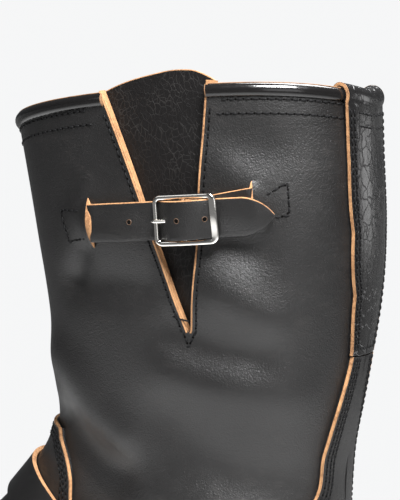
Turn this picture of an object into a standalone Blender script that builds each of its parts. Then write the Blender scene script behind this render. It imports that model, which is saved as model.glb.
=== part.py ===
"""Left engineer boot: stacked sole, hollow leather upper, overlays, two buckled straps.

Metres, +Z up, sole on the floor, toe toward -X, outer (lateral) side toward -Y.
The tables and sizes below are in millimetres, and each mesh is scaled to metres when it is made.
Station is the distance forward from the back of the sole. A place on the upper is given by c, which
runs from -1 at the lateral base over 0 on the front ridge to +1 at the medial base, by r, the row
of the SECTIONS table, and by d, the distance out from the surface.
"""
import math
from collections import namedtuple

import bmesh
import bpy
import numpy as np

MM = 0.001
GAP = 0.3
SHELL_GAP = 0.45
ORIGIN_STATION = 147.43
ORIGIN_ACROSS = -1.0

# Sole: its length, the thickness of each layer from the floor up, and the heel.
SOLE_LENGTH = 300.0
OUTSOLE_THICK = 5.5
MIDSOLE_THICK = 4.2
WELT_THICK = 3.2
INSOLE_THICK = 2.8
HEEL_BREAST = 77.0
TOP_LIFT_THICK = 6.6
HEEL_TAPER = 2.0
HEEL_WAIST = 18.0
HEEL_SPANS = 12
WELT_RING = 12.0
INSOLE_PLUG_INSET = 10.5

MIDSOLE_BASE = OUTSOLE_THICK + GAP
WELT_BASE = MIDSOLE_BASE + MIDSOLE_THICK
WELT_BASE_CLEAR = WELT_BASE + GAP
WELT_TOP = WELT_BASE_CLEAR + WELT_THICK
UPPER_BASE = WELT_TOP + SHELL_GAP

# Upper: the wall, the overlays and the bead round the rim.
WALL = 2.4
OVERLAY = 1.8
BEAD_HEIGHT = 6.0
BEAD_WIDTH = 5.4
BASE_FLATTEN = 8.0
FEATHER_BACK = 2.5
FEATHER_TOE = 294.0

OutlineRow = namedtuple("OutlineRow", "station centre half_breadth")
OUTLINE = [OutlineRow(*row) for row in (
    (0, 0, 0), (10, 0, 25.5), (38, 0, 37.5), (62, -0.5, 38), (100, -2, 35.5), (130, -3.5, 37),
    (160, -4, 42), (190, -3, 49), (212, -1.5, 53), (232, 0.5, 53), (255, 3, 47.5),
    (275, 5.5, 37), (290, 7, 24), (300, 8, 0))]

# Height of the outsole's underside: the heel seat, the arch, the flat forefoot and the toe spring.
BottomRow = namedtuple("BottomRow", "station height")
BOTTOM = [BottomRow(*row) for row in (
    (-12, 33.5), (0, 33), (40, 31.5), (78, 29), (100, 24.5), (125, 15.5), (150, 6), (172, 0.8),
    (185, 0), (205, 0), (222, 0), (240, 0.9), (262, 3.4), (282, 7), (300, 11), (312, 14))]

# One row for each section of the last and shaft. Base is where the section meets the welt (height
# None) or the back line, top is where it meets the front ridge. Boxy is the superellipse power.
Section = namedtuple("Section", "base base_height top top_height half_width boxy ridge_across")
SECTIONS = [Section(*row) for row in (
    (294.0, None, 294.0, None, 0.0, 2.2, 8),
    (292.6, None, 292.8, 33.5, 12.0, 2.2, 8),
    (289.0, None, 289.2, 42.0, 21.5, 2.2, 8),
    (283.0, None, 283.2, 49.3, 30.0, 2.2, 7.5),
    (274.0, None, 274.5, 55.0, 38.0, 2.2, 7),
    (262.0, None, 262.5, 58.5, 43.8, 2.2, 6.5),
    (246.0, None, 247.0, 60.5, 48.0, 2.15, 6),
    (228.0, None, 231.0, 62.8, 50.0, 2.1, 5.5),
    (208.0, None, 216.0, 67.5, 49.5, 2.05, 5),
    (186.0, None, 202.5, 74.5, 46.5, 2.0, 5),
    (162.0, None, 190.0, 82.5, 43.0, 2.0, 5),
    (136.0, None, 177.5, 92.0, 40.3, 2.0, 4.5),
    (108.0, None, 165.5, 102.5, 38.8, 2.05, 4),
    (80.0, None, 155.5, 113.0, 38.3, 2.1, 3),
    (54.0, None, 148.0, 122.0, 38.0, 2.15, 2.5),
    (32.0, None, 143.2, 129.0, 37.8, 2.2, 2),
    (16.0, None, 140.6, 134.0, 37.6, 2.2, 1.5),
    (6.0, None, 139.2, 137.5, 37.5, 2.2, 1.2),
    (2.5, None, 138.4, 140.2, 37.5, 2.2, 1),
    (1.8, 58.0, 138.0, 143.2, 37.5, 2.2, 0.8),
    (3.0, 71.0, 137.9, 147.3, 37.6, 2.2, 0.6),
    (6.5, 85.0, 138.1, 152.0, 37.9, 2.2, 0.4),
    (9.8, 100.0, 138.6, 158.0, 38.5, 2.25, 0.2),
    (10.3, 116.0, 139.2, 165.5, 39.5, 2.25, 0),
    (8.8, 134.0, 139.6, 175.0, 41.0, 2.3, 0),
    (5.4, 154.0, 139.9, 187.0, 42.8, 2.3, 0),
    (1.4, 176.0, 141.6, 201.0, 44.5, 2.35, 0),
    (-1.8, 199.0, 144.2, 216.5, 46.0, 2.4, 0),
    (-2.9, 224.0, 147.2, 233.0, 47.2, 2.4, 0),
    (-1.8, 251.0, 150.6, 250.5, 48.0, 2.4, 0),
    (0.0, 279.5, 154.0, 267.0, 48.5, 2.4, 0),
    (1.6, 308.0, 157.2, 283.0, 49.0, 2.4, 0))]
LAST_WELT_ROW = 17
CLOSED_ROW = 18
RIM_ROW = 30
GUIDE_ROW = 31

# The rim stands higher on its sides than at the front and back.
RISE_FIRST_ROW = 24
RISE_LATERAL = 8.5
RISE_MEDIAL = 5.0

# Edges in the side view, the same on both sides of the boot.
VampRow = namedtuple("VampRow", "height station")
VAMP_EDGE = [VampRow(*row) for row in (
    (30, 84), (41, 92.5), (46, 96), (55, 101.5), (66, 107), (80, 113), (95, 117.5), (109, 119.8),
    (118.4, 120.4), (125.7, 122.9), (134, 128.2), (138.8, 132), (140.6, 139), (150, 170), (170, 230))]
CounterRow = namedtuple("CounterRow", "height ahead_of_back")
COUNTER_EDGE = [CounterRow(*row) for row in (
    (30, 91), (41, 83), (46.5, 79.5), (55, 73), (65, 60), (78, 42), (92, 24), (104, 11), (116, 5),
    (132, 3.7), (144, 2.9), (156, 2), (168, 1.3), (193, 1.3), (217, 1.7), (237, 1.9), (277, 1.6),
    (310, 1.6))]
COUNTER_FRONT = 85.3
BACK_SEAM_ROW = 25.9

# The V notch in the lateral side, between its front and its back edge.
NotchRow = namedtuple("NotchRow", "height front back")
NOTCH = [NotchRow(*row) for row in (
    (184, 59.8, 58.9), (215, 70.2, 55.2), (247, 81.8, 53), (280, 94.2, 50.2), (306, 104.5, 48))]
NOTCH_FRONT_C = -0.447
NOTCH_BACK_C = -0.578
GUSSET_C = (-0.605, -0.425)
GUSSET_FOOT_ROW = 25.4
GUSSET_PEAK_STATION = 63.0
GUSSET_PEAK = 291.5
GUSSET_HALF_SPAN = 38.0
GUSSET_RISE = 11.5

# Straps: a place along a strap is a, from the buckle's middle toward the tip, and v is across it.
TOP_STRAP_WIDTH = 15.6
INSTEP_STRAP_WIDTH = 19.0
STRAP_THICK = 2.2
CHAPE_THICK = 1.3
WIRE = 0.9
BAR = 0.8
PRONG = 0.7
BUCKLE_HALF_LENGTH = 12.3
BUCKLE_CORNER = 2.4
TOP_SIDE_ROOM = 1.4
INSTEP_SIDE_ROOM = 2.6
FRONT_WIRE_LIFT = 3.45
BACK_WIRE_LIFT = 5.1
BAR_LIFT = 3.6
TOP_SLIT = -43.8
CHAPE_SLIT = 26.6
CHAPE_SHEAR = 0.13
SLIT_HALF_WIDTH = 1.5
TIP_LENGTH = 13.0

# The rows and columns of the upper's facets, which the overlays share so that their facets nest.
TOE_ROWS = [0, 0.4, 1, 1.5, 2, 3, 4, 5, 6, 7, 8, 9, 10]
WAIST_ROWS = [11, 12, 12.5, 13, 13.5, 14]
HEEL_ROWS = [15, 15.5, 16, 16.5, 17, 17.5]
FOOT_ROWS = TOE_ROWS + WAIST_ROWS + HEEL_ROWS + [CLOSED_ROW]
UPPER_ROWS = FOOT_ROWS + list(range(CLOSED_ROW + 1, 29)) + [28.5, 29.1]
UPPER_COLUMNS = 28

SURFACE_STEP_C = 0.004
SURFACE_STEP_R = 0.02
BISECTIONS = 34


def smooth_curve(x, rows_x, rows_y):
    """Smooth curve through the points of a table."""
    xs = np.asarray(rows_x, float)
    ys = np.asarray(rows_y, float)
    x = np.clip(np.asarray(x, float), xs[0], xs[-1])
    slopes = np.diff(ys) / np.diff(xs)
    spans = np.diff(xs)
    tangents = np.empty_like(ys)
    tangents[1:-1] = ((slopes[:-1] * spans[1:] + slopes[1:] * spans[:-1])
                      / (spans[1:] + spans[:-1]))
    tangents[0] = 2 * slopes[0] - tangents[1]
    tangents[-1] = 2 * slopes[-1] - tangents[-2]
    k = np.clip(np.searchsorted(xs, x, side="right") - 1, 0, len(xs) - 2)
    t = (x - xs[k]) / spans[k]
    return ((2 * t**3 - 3 * t**2 + 1) * ys[k] + (t**3 - 2 * t**2 + t) * spans[k] * tangents[k]
            + (3 * t**2 - 2 * t**3) * ys[k + 1] + (t**3 - t**2) * spans[k] * tangents[k + 1])


def read_table(table, x):
    """Second column of a two-column table at x in its first."""
    return smooth_curve(x, *zip(*table))


def bisect(function, low, high):
    """Where a rising function of arrays crosses zero between low and high."""
    for _ in range(BISECTIONS):
        middle = 0.5 * (low + high)
        below = function(middle) < 0
        low = np.where(below, middle, low)
        high = np.where(below, high, middle)
    return 0.5 * (low + high)


def outline(station):
    """Centre line and half breadth of the sole at a station."""
    stations, centres, halves = zip(*OUTLINE)
    turns = np.arccos(1 - 2 * np.asarray(stations, float) / SOLE_LENGTH)
    turn = np.arccos(np.clip(1 - 2 * np.asarray(station, float) / SOLE_LENGTH, -1, 1))
    return smooth_curve(turn, turns, centres), smooth_curve(turn, turns, halves)


def underside(station):
    """Height of the outsole's underside, which rests on the floor under the ball of the foot."""
    return np.maximum(read_table(BOTTOM, station), 0)


def feather(station):
    """Centre line and half breadth of the line where the upper meets the welt."""
    centre, _ = outline(station)
    share = (np.asarray(station, float) - FEATHER_BACK) / (FEATHER_TOE - FEATHER_BACK)
    _, half = outline(np.clip(share, 0, 1) * SOLE_LENGTH)
    inset = np.interp(station, [0, 40, 90, SOLE_LENGTH], [2.5, 2.8, 6, 6])
    return centre, half * (1 - inset / 50)


def section_columns():
    """SECTIONS as columns, with a mirrored row before the toe that keeps the toe upright."""
    rows = []
    for section in SECTIONS:
        floor = float(underside(section.base)) + UPPER_BASE
        base_height = floor if section.base_height is None else section.base_height
        top_height = floor if section.top_height is None else section.top_height
        rows.append((section.base, base_height, section.top, top_height, section.half_width,
                     section.boxy, section.ridge_across))
    before = list(rows[1])
    before[3] = 2 * rows[0][3] - rows[1][3]
    before[4] = -rows[1][4]
    return np.array([before] + rows, float).T


COLUMNS = section_columns()
ROW_NUMBERS = np.arange(-1, len(SECTIONS))


def surface(c, r):
    """The upper's outer form: station, across and height at (c, r)."""
    c, r = np.broadcast_arrays(np.asarray(c, float), np.asarray(r, float))
    base, base_height, top, top_height, width, boxy, ridge = (
        smooth_curve(r, ROW_NUMBERS, column) for column in COLUMNS)
    base_height = np.where(r < LAST_WELT_ROW, underside(base) + UPPER_BASE, base_height)
    centre, half = feather(base)
    half = np.where(r < CLOSED_ROW, half, 0)
    centre = np.where(r < CLOSED_ROW, centre, 0)
    width = np.maximum(width, 1e-6)
    power = 2 / boxy
    start = np.arcsin(np.clip(half / width, 0, 0.985) ** (1 / power))
    turn = np.pi + (start - np.pi) * np.abs(c)
    low = np.abs(np.cos(start)) ** power
    share = (low - np.sign(np.cos(turn)) * np.abs(np.cos(turn)) ** power) / (low + 1)
    across = (centre + (ridge - centre) * share
              + np.sign(c) * width * np.abs(np.sin(turn)) ** power)
    rise = np.clip((r - RISE_FIRST_ROW) / (RIM_ROW - RISE_FIRST_ROW), 0, None) ** 1.5
    rise = rise * np.sin(np.pi * np.abs(c)) * np.where(c < 0, RISE_LATERAL, RISE_MEDIAL)
    height = base_height + (top_height - base_height) * share + rise
    return np.stack([base + (top - base) * share, across, height], -1)


def around(c, r):
    """Keep c within -1 to 1: it passes round the back on closed rows, and stops on open ones."""
    wrapped = np.where(np.abs(c) > 1, c - 2 * np.sign(c), c)
    return np.where(r >= CLOSED_ROW, wrapped, np.clip(c, -1, 1))


def outward(c, r):
    """Unit vector out of the surface, turned level near the welt."""
    c, r = np.broadcast_arrays(np.asarray(c, float), np.asarray(r, float))
    place = surface(c, r)
    r = np.clip(r, 0.15, GUIDE_ROW - SURFACE_STEP_R)
    along = (surface(around(c + SURFACE_STEP_C, r), r) - surface(around(c - SURFACE_STEP_C, r), r))
    before, after = r - SURFACE_STEP_R, r + SURFACE_STEP_R
    before = np.where((r >= CLOSED_ROW) & (before < CLOSED_ROW), r, before)
    after = np.where((r < CLOSED_ROW) & (after >= CLOSED_ROW), r, after)
    up = surface(c, after) - surface(c, before)
    normal = np.cross(along, up)
    normal /= np.linalg.norm(normal, axis=-1, keepdims=True)
    floor = underside(place[..., 0]) + UPPER_BASE
    normal[..., 2] *= np.clip((place[..., 2] - floor) / BASE_FLATTEN, 0, 1)
    return normal / np.linalg.norm(normal, axis=-1, keepdims=True)


def off_surface(c, r, d):
    """The point at distance d out from the surface at (c, r)."""
    c, r, d = np.broadcast_arrays(*(np.asarray(value, float) for value in (c, r, d)))
    c = np.where(r < 1e-6, 0, c)
    point = surface(c, r) + outward(c, r) * d[..., None]
    floor = underside(point[..., 0]) + UPPER_BASE
    point[..., 2] = np.where(r < CLOSED_ROW + 0.5, np.maximum(point[..., 2], floor), point[..., 2])
    return point


def rim_row(c, below):
    """The row that lies a given height below the rim."""
    c, below = np.broadcast_arrays(np.asarray(c, float), np.asarray(below, float))
    rim = surface(c, RIM_ROW)[..., 2]
    return bisect(lambda r: surface(c, r)[..., 2] - rim + below,
                  np.full(c.shape, 20.0), np.full(c.shape, float(GUIDE_ROW)))


def vamp_row(c):
    """The row on which the vamp's edge lies."""
    c = np.asarray(c, float)

    def behind_edge(r):
        place = surface(c, r)
        return read_table(VAMP_EDGE, place[..., 2]) - place[..., 0]

    return bisect(behind_edge, np.full(c.shape, 8.0), np.full(c.shape, 19.0))


def counter_column(r):
    """The c, on the lateral side, on which the counter's or back strip's edge lies."""
    r = np.asarray(r, float)
    back_stations, back_heights = COLUMNS[:2, CLOSED_ROW + 1:]

    def ahead_of_edge(c):
        place = surface(c, r)
        back = np.interp(place[..., 2], back_heights, back_stations)
        return place[..., 0] - back - read_table(COUNTER_EDGE, place[..., 2])

    return bisect(ahead_of_edge, np.full(r.shape, -1.0), np.full(r.shape, -0.05))


class Mesh:
    """Corner points and faces that become one closed solid."""

    def __init__(self):
        self.points = []
        self.faces = []

    def add_points(self, points):
        """Add corner points and return the number of the first."""
        first = len(self.points)
        self.points.extend(np.reshape(points, (-1, 3)))
        return first

    def sheet(self, points, closed_rows=False):
        """Quads over a grid of points; closed_rows joins its last row to its first."""
        rows, columns = points.shape[:2]
        first = self.add_points(points)
        for i in range(rows if closed_rows else rows - 1):
            for j in range(columns - 1):
                here = first + i * columns + j
                there = first + (i + 1) % rows * columns + j
                self.faces.append((here, here + 1, there + 1, there))

    def shell(self, outer, inner, back_walls=None):
        """A sheet of leather between two grids, with walls round its edge.

        back_walls says for each row whether its first and last columns have a wall.
        """
        self.sheet(outer)
        self.sheet(inner[:, ::-1])
        self.sheet(np.stack([inner[0], outer[0]]))
        self.sheet(np.stack([outer[-1], inner[-1]]))
        for column, pair in ((0, (outer, inner)), (-1, (inner, outer))):
            for i in range(len(outer) - 1):
                if back_walls is None or back_walls[column][i]:
                    edge = [[grid[i, column], grid[i + 1, column]] for grid in pair]
                    self.sheet(np.array(edge))

    def loops(self, rings, capped=True):
        """A skin over closed rings of points, with flat ends."""
        rings = np.asarray(rings)
        self.sheet(np.concatenate([rings, rings[:, :1]], axis=1))
        if capped:
            for ring in (rings[0], rings[-1]):
                half = len(ring) // 2
                self.sheet(np.stack([ring[:half], ring[half:][::-1]]))


def make_object(name, mesh, smooth_angle=35):
    """A Blender object from a Mesh, in metres and about the boot's origin."""
    points = np.array(mesh.points)
    world = np.stack([ORIGIN_STATION - points[:, 0], points[:, 1] - ORIGIN_ACROSS, points[:, 2]], -1)
    data = bpy.data.meshes.new(name)
    builder = bmesh.new()
    corners = [builder.verts.new(point * MM) for point in world]
    for face in mesh.faces:
        builder.faces.new([corners[index] for index in face])
    bmesh.ops.remove_doubles(builder, verts=builder.verts, dist=2e-6)
    bmesh.ops.recalc_face_normals(builder, faces=builder.faces)
    builder.to_mesh(data)
    builder.free()
    data.shade_smooth()
    data.set_sharp_from_angle(angle=math.radians(smooth_angle))
    made = bpy.data.objects.new(name, data)
    bpy.context.scene.collection.objects.link(made)
    return made


def finish_as(made, colour, roughness, metallic=0.0):
    """Give an object a material of its own."""
    material = bpy.data.materials.new(made.name)
    material.use_nodes = True
    shader = material.node_tree.nodes["Principled BSDF"]
    shader.inputs["Base Color"].default_value = (*colour, 1)
    shader.inputs["Roughness"].default_value = roughness
    shader.inputs["Metallic"].default_value = metallic
    made.data.materials.append(material)
    return made


def as_tool(made):
    """Mark an object as a cutter or a piece to be joined."""
    made.hide_render = True
    made.display_type = "WIRE"
    return made


def combine(made, tool, operation):
    """Cut a tool out of an object, or join the tool to it."""
    modifier = made.modifiers.new(tool.name, "BOOLEAN")
    modifier.operation = operation
    modifier.solver = "EXACT"
    modifier.object = as_tool(tool)


BLACK_LEATHER = (0.012, 0.011, 0.011)
DARK_SOLE = (0.02, 0.018, 0.016)
HEEL_LEATHER = (0.03, 0.02, 0.014)
TAN_LEATHER = (0.42, 0.24, 0.12)
NICKEL = (0.75, 0.74, 0.71)


def sole_stations():
    """The stations of the sole's facets, which match the foot of the upper's."""
    feet = smooth_curve(FOOT_ROWS[::-1], ROW_NUMBERS, COLUMNS[0])
    return np.concatenate([[0, 0.8], feet, [297, 299.2, SOLE_LENGTH]])


def sole_ring(height, inset):
    """A ring of points round the sole: lateral from heel to toe, then medial back to the heel."""
    stations = sole_stations()
    centre, half = outline(stations)
    kept = inset + stations * (1 - 2 * inset / SOLE_LENGTH)
    return ring_of(kept, centre, half * (1 - inset / 50), height)


def heel_ring(height, inset, breast):
    """A ring of points round the heel, straight across at its breast."""
    share = 1 - np.cos(np.linspace(0, np.pi / 2, HEEL_SPANS + 1))
    centre, half = outline(share * breast)
    return ring_of(inset + share * (breast - inset), centre, half * (1 - inset / 50), height)


def ring_of(stations, centre, half, height):
    """Points along the lateral side and back along the medial side."""
    level = height(stations)
    lateral = np.stack([stations, centre - half, level], -1)
    medial = np.stack([stations, centre + half, level], -1)
    return np.concatenate([lateral, medial[::-1]])


def layer(name, levels):
    """A sole layer through (height above the underside, inset) levels."""
    mesh = Mesh()
    mesh.loops([sole_ring(lambda station, up=up: underside(station) + up, inset)
                for up, inset in levels])
    return make_object(name, mesh)


def make_outsole():
    """The layer that meets the floor under the forefoot."""
    levels = ((0, 1.2), (1.0, 0.3), (OUTSOLE_THICK, 0.4))
    return finish_as(layer("outsole", levels), DARK_SOLE, 0.7)


def make_midsole():
    """The layer between the outsole and the welt."""
    levels = ((MIDSOLE_BASE, 0.3), (WELT_BASE - 0.6, 0.1), (WELT_BASE, 0.6))
    return finish_as(layer("midsole", levels), DARK_SOLE, 0.55)


def make_welt():
    """A strip round the sole's edge, wide enough to carry the upper and the insole."""
    mesh = Mesh()
    rings = [sole_ring(lambda station, up=up: underside(station) + up, inset)
             for up, inset in ((WELT_BASE_CLEAR, WELT_RING), (WELT_BASE_CLEAR, 0.5),
                               (WELT_TOP - 0.9, 0), (WELT_TOP, 0.9), (WELT_TOP, WELT_RING))]
    rings = np.array(rings)
    mesh.sheet(np.concatenate([rings, rings[:, :1]], axis=1), closed_rows=True)
    return finish_as(make_object("welt", mesh), BLACK_LEATHER, 0.5)


def make_insole():
    """The board inside, whose underside fills the ring of the welt."""
    board_base = UPPER_BASE + 0.1
    rows = np.array(FOOT_ROWS[::-1], float)
    rings = []
    board_inset = WALL + 2.2
    for up, inset in ((WELT_BASE_CLEAR + GAP, INSOLE_PLUG_INSET), (board_base, INSOLE_PLUG_INSET),
                      (board_base, board_inset), (board_base + INSOLE_THICK, board_inset)):
        lateral = off_surface(-1, rows, -inset)
        medial = off_surface(1, rows, -inset)
        for side in (lateral, medial):
            side[:, 2] = underside(side[:, 0]) + up
        rings.append(np.concatenate([lateral, medial[::-1]]))
    mesh = Mesh()
    mesh.loops(rings)
    return finish_as(make_object("insole", mesh), TAN_LEATHER, 0.8)


def make_heel():
    """The leather stack under the heel seat, and the rubber lift that touches the floor."""
    stack_foot = TOP_LIFT_THICK + GAP
    stack = Mesh()
    stack.loops([
        heel_ring(lambda station: 0 * station + stack_foot, HEEL_TAPER, HEEL_BREAST - 2),
        heel_ring(lambda station: 0 * station + HEEL_WAIST, HEEL_TAPER / 2, HEEL_BREAST - 1.2),
        heel_ring(lambda station: underside(station) - GAP, 0.4, HEEL_BREAST)])
    lift = Mesh()
    lift.loops([heel_ring(lambda station, up=up: 0 * station + up, inset, HEEL_BREAST - 2)
                for up, inset in ((0, 3.2), (0.8, 2.4), (TOP_LIFT_THICK, 2.1))])
    finish_as(make_object("heel_stack", stack), HEEL_LEATHER, 0.5)
    finish_as(make_object("heel_top_lift", lift), DARK_SOLE, 0.8)


def foot_walls(rows):
    """For each span between rows, whether the sheet ends at the welt there."""
    return [row <= CLOSED_ROW for row in rows[1:]]


def make_upper():
    """The hollow wall from the toe to just under the bead, open at the rim and underneath."""
    columns = np.linspace(-1, 1, UPPER_COLUMNS + 1)
    rows = [np.full(columns.shape, float(row)) for row in UPPER_ROWS]
    rows.append(rim_row(columns, BEAD_HEIGHT + GAP))
    rows = np.array(rows)
    grid = np.broadcast_to(columns, rows.shape)
    outer = off_surface(grid, rows, 0)
    inner = off_surface(grid, rows, -WALL)
    walls = foot_walls(rows[:, 0])
    mesh = Mesh()
    mesh.shell(outer, inner, {0: walls, -1: walls})
    upper = finish_as(make_object("upper", mesh), BLACK_LEATHER, 0.42)
    combine(upper, notch_cutter(), "DIFFERENCE")
    return upper


def notch_cutter():
    """A wedge with the V notch's edges, through the lateral wall alone."""
    mesh = Mesh()
    edge = [(row.front, row.height) for row in NOTCH] + [(row.back, row.height) for row in NOTCH[::-1]]
    mesh.loops([[(station, across, height) for station, height in edge] for across in (-80, -12)])
    return make_object("notch_cutter", mesh)


def make_vamp():
    """The forefoot's overlay, from the toe to its edge across the throat."""
    columns = np.linspace(-1, 1, UPPER_COLUMNS + 1)
    last = vamp_row(columns)
    rows = np.minimum(np.array(FOOT_ROWS, float)[:, None], last)
    rows[-1] = last
    grid = np.broadcast_to(columns, rows.shape)
    mesh = Mesh()
    mesh.shell(off_surface(grid, rows, SHELL_GAP + OVERLAY), off_surface(grid, rows, SHELL_GAP))
    return finish_as(make_object("vamp", mesh), BLACK_LEATHER, 0.4)


def back_columns(edge, side):
    """The upper's columns from an edge round to the back, for each row; edge is negative."""
    columns = np.linspace(-1, 1, UPPER_COLUMNS + 1)
    columns = columns[columns < edge.max()][::-1]
    columns = np.concatenate([[0], columns])
    return side * np.minimum(columns, edge[:, None])


def make_counter():
    """The heel counter and the lower back strip that rises out of it."""
    feet = smooth_curve(np.arange(10, 18, 0.05), ROW_NUMBERS, COLUMNS[0])
    first = float(np.interp(-COUNTER_FRONT, -feet, np.arange(10, 18, 0.05)))
    rows = [first] + [row for row in UPPER_ROWS if first + 0.1 < row < BACK_SEAM_ROW - 0.2]
    rows = np.array(rows + [BACK_SEAM_ROW])
    edge = counter_column(rows)
    edge[0] = -1
    walls = foot_walls(rows)
    mesh = Mesh()
    for side in (1, -1):
        columns = back_columns(edge, side)
        grid = np.broadcast_to(rows[:, None], columns.shape)
        outer = off_surface(columns, grid, SHELL_GAP + OVERLAY)
        inner = off_surface(columns, grid, SHELL_GAP)
        mesh.shell(outer, inner, {0: [True] * len(walls), -1: walls})
    return finish_as(make_object("counter", mesh), BLACK_LEATHER, 0.4)


def rim_frame(c):
    """Middle of the bead, with the outward and the upward direction there."""
    row = rim_row(c, BEAD_HEIGHT / 2)
    out = outward(c, row)
    up = surface(c, row + SURFACE_STEP_R) - surface(c, row - SURFACE_STEP_R)
    up /= np.linalg.norm(up, axis=-1, keepdims=True)
    return off_surface(c, row, -WALL / 2), out, up


def make_backstay():
    """The crackled strip up the back seam, hooked over the bead and down inside."""
    straight = [BACK_SEAM_ROW + 0.03] + [row for row in UPPER_ROWS if row > BACK_SEAM_ROW + 0.2]
    straight = np.array(straight)
    edge = counter_column(straight)
    turns = np.radians(np.arange(-35, 216, 25))
    mesh = Mesh()
    for side in (1, -1):
        grids = []
        for lift in (SHELL_GAP, SHELL_GAP + OVERLAY):
            columns = back_columns(edge, side)
            rows = np.broadcast_to(straight[:, None], columns.shape)
            outside = off_surface(columns, rows, lift)
            top = columns[-1]
            centre, out, up = rim_frame(top)
            fold = [centre + out * (BEAD_WIDTH / 2 + lift) * math.cos(turn)
                    + up * (BEAD_HEIGHT / 2 + lift) * math.sin(turn) for turn in turns]
            inside = [off_surface(top, rim_row(top, below), -WALL - lift) for below in (9, 14)]
            grids.append(np.concatenate([outside, fold, inside]))
        no_back_wall = [False] * (len(grids[0]) - 1)
        mesh.shell(grids[1], grids[0], {0: [True] * len(no_back_wall), -1: no_back_wall})
    return finish_as(make_object("backstay", mesh), BLACK_LEATHER, 0.25)


def make_collar_binding():
    """The rolled bead on the rim, from the V notch's front edge round to its back edge."""
    columns = np.linspace(-1, 1, UPPER_COLUMNS + 1)
    front = columns[columns > NOTCH_FRONT_C + 0.01]
    back = columns[columns < NOTCH_BACK_C - 0.01]
    turns = np.linspace(0, 2 * np.pi, 9)[:-1]
    rings = []
    for c in np.concatenate([[NOTCH_FRONT_C], front, back[1:], [NOTCH_BACK_C]]):
        centre, out, up = rim_frame(c)
        rings.append([centre + out * BEAD_WIDTH / 2 * math.cos(turn)
                      + up * BEAD_HEIGHT / 2 * math.sin(turn) for turn in turns])
    mesh = Mesh()
    mesh.loops(rings)
    return finish_as(make_object("collar_binding", mesh, 60), BLACK_LEATHER, 0.2)


def make_gusset():
    """The leaf behind the V notch, with an arched top that stands above the rim."""
    columns = np.linspace(*GUSSET_C, 11)

    def above_arch(r):
        place = surface(columns, r)
        reach = (place[..., 0] - GUSSET_PEAK_STATION) / GUSSET_HALF_SPAN
        return place[..., 2] - GUSSET_PEAK + GUSSET_RISE * reach ** 2

    last = bisect(above_arch, np.full(columns.shape, 28.0), np.full(columns.shape, 31.0))
    shares = np.linspace(0, 1, 9)
    rows = GUSSET_FOOT_ROW + shares[:, None] * (last - GUSSET_FOOT_ROW)
    grid = np.broadcast_to(columns, rows.shape)
    clear = WALL + SHELL_GAP
    bead_clear = WALL / 2 + BEAD_WIDTH / 2 + SHELL_GAP
    depth = clear + (bead_clear - clear) * np.clip((shares - 0.6) / 0.25, 0, 1)[:, None]
    mesh = Mesh()
    mesh.shell(off_surface(grid, rows, -depth), off_surface(grid, rows, -depth - OVERLAY))
    return finish_as(make_object("gusset", mesh), BLACK_LEATHER, 0.35)


class Belt:
    """A straight band in the side view, laid over the upper's form."""

    def __init__(self, station, height, slope, columns):
        self.across_station = math.sin(slope)
        self.across_height = math.cos(slope)
        self.level = station * self.across_station + height * self.across_height
        self.columns = np.linspace(*columns, 240)
        middle = self.on_surface(self.columns, 0)
        length = np.concatenate([[0], np.cumsum(np.linalg.norm(np.diff(middle, axis=0), axis=1))])
        passed = middle[:, 0] * -self.across_height + middle[:, 2] * self.across_station
        start = -station * self.across_height + height * self.across_station
        lateral = self.columns < -0.1
        origin = np.interp(-start, -passed[lateral], length[lateral])
        self.along = origin - length

    def row(self, c, v):
        """The row that the band's line at v crosses at c."""
        c, v = np.broadcast_arrays(np.asarray(c, float), np.asarray(v, float))

        def past_line(r):
            place = surface(c, r)
            return (place[..., 0] * self.across_station + place[..., 2] * self.across_height
                    - self.level - v)

        return bisect(past_line, np.full(c.shape, 6.0), np.full(c.shape, float(RIM_ROW)))

    def on_surface(self, c, v):
        """The place on the surface at c on the band's line at v."""
        return surface(c, self.row(c, v))

    def point(self, a, v, d):
        """A place along the band, across it and off the surface."""
        c = np.interp(a, self.along[::-1], self.columns[::-1])
        return off_surface(c, self.row(c, v), d)


def thicken(path, thickness):
    """The two sides of a path in the (a, d) plane."""
    path = np.asarray(path, float)
    run = np.gradient(path, axis=0)
    run /= np.linalg.norm(run, axis=1, keepdims=True)
    side = np.stack([-run[:, 1], run[:, 0]], -1) * thickness / 2
    return path + side, path - side


def ribbon(name, belt, path, thickness, half_width, shear=0.0):
    """A strap along a path of (a, d), with half_width a function of a."""
    above, below = thicken(path, thickness)
    half = half_width(np.asarray(path, float)[:, 0])
    corners = []
    for side, sign in ((above, 1), (above, 0), (above, -1), (below, -1), (below, 0), (below, 1)):
        v = sign * half + shear * side[:, 0]
        corners.append(belt.point(side[:, 0], v, side[:, 1]))
    mesh = Mesh()
    mesh.loops(np.stack(corners, axis=1))
    return make_object(name, mesh)


def tube(points, side, radius, sides=6, closed=False):
    """A round wire along points; side is a direction across the wire at each point."""
    points = np.asarray(points, float)
    if closed:
        run = np.roll(points, -1, axis=0) - np.roll(points, 1, axis=0)
    else:
        run = np.gradient(points, axis=0)
    run /= np.linalg.norm(run, axis=1, keepdims=True)
    side = side - (side * run).sum(1, keepdims=True) * run
    side /= np.linalg.norm(side, axis=1, keepdims=True)
    other = np.cross(run, side)
    turns = np.linspace(0, 2 * np.pi, sides + 1)[:-1]
    rings = np.stack([points + radius * (math.cos(turn) * side + math.sin(turn) * other)
                      for turn in turns], axis=1)
    mesh = Mesh()
    if closed:
        mesh.sheet(np.concatenate([rings, rings[:, :1]], axis=1), closed_rows=True)
    else:
        mesh.loops(rings)
    return mesh


def arc(centre, radius, first, last, count):
    """Points of an arc in the (a, d) plane, angles in degrees."""
    turns = np.radians(np.linspace(first, last, count))
    return [(centre[0] + radius * math.cos(turn), centre[1] + radius * math.sin(turn))
            for turn in turns]


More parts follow.
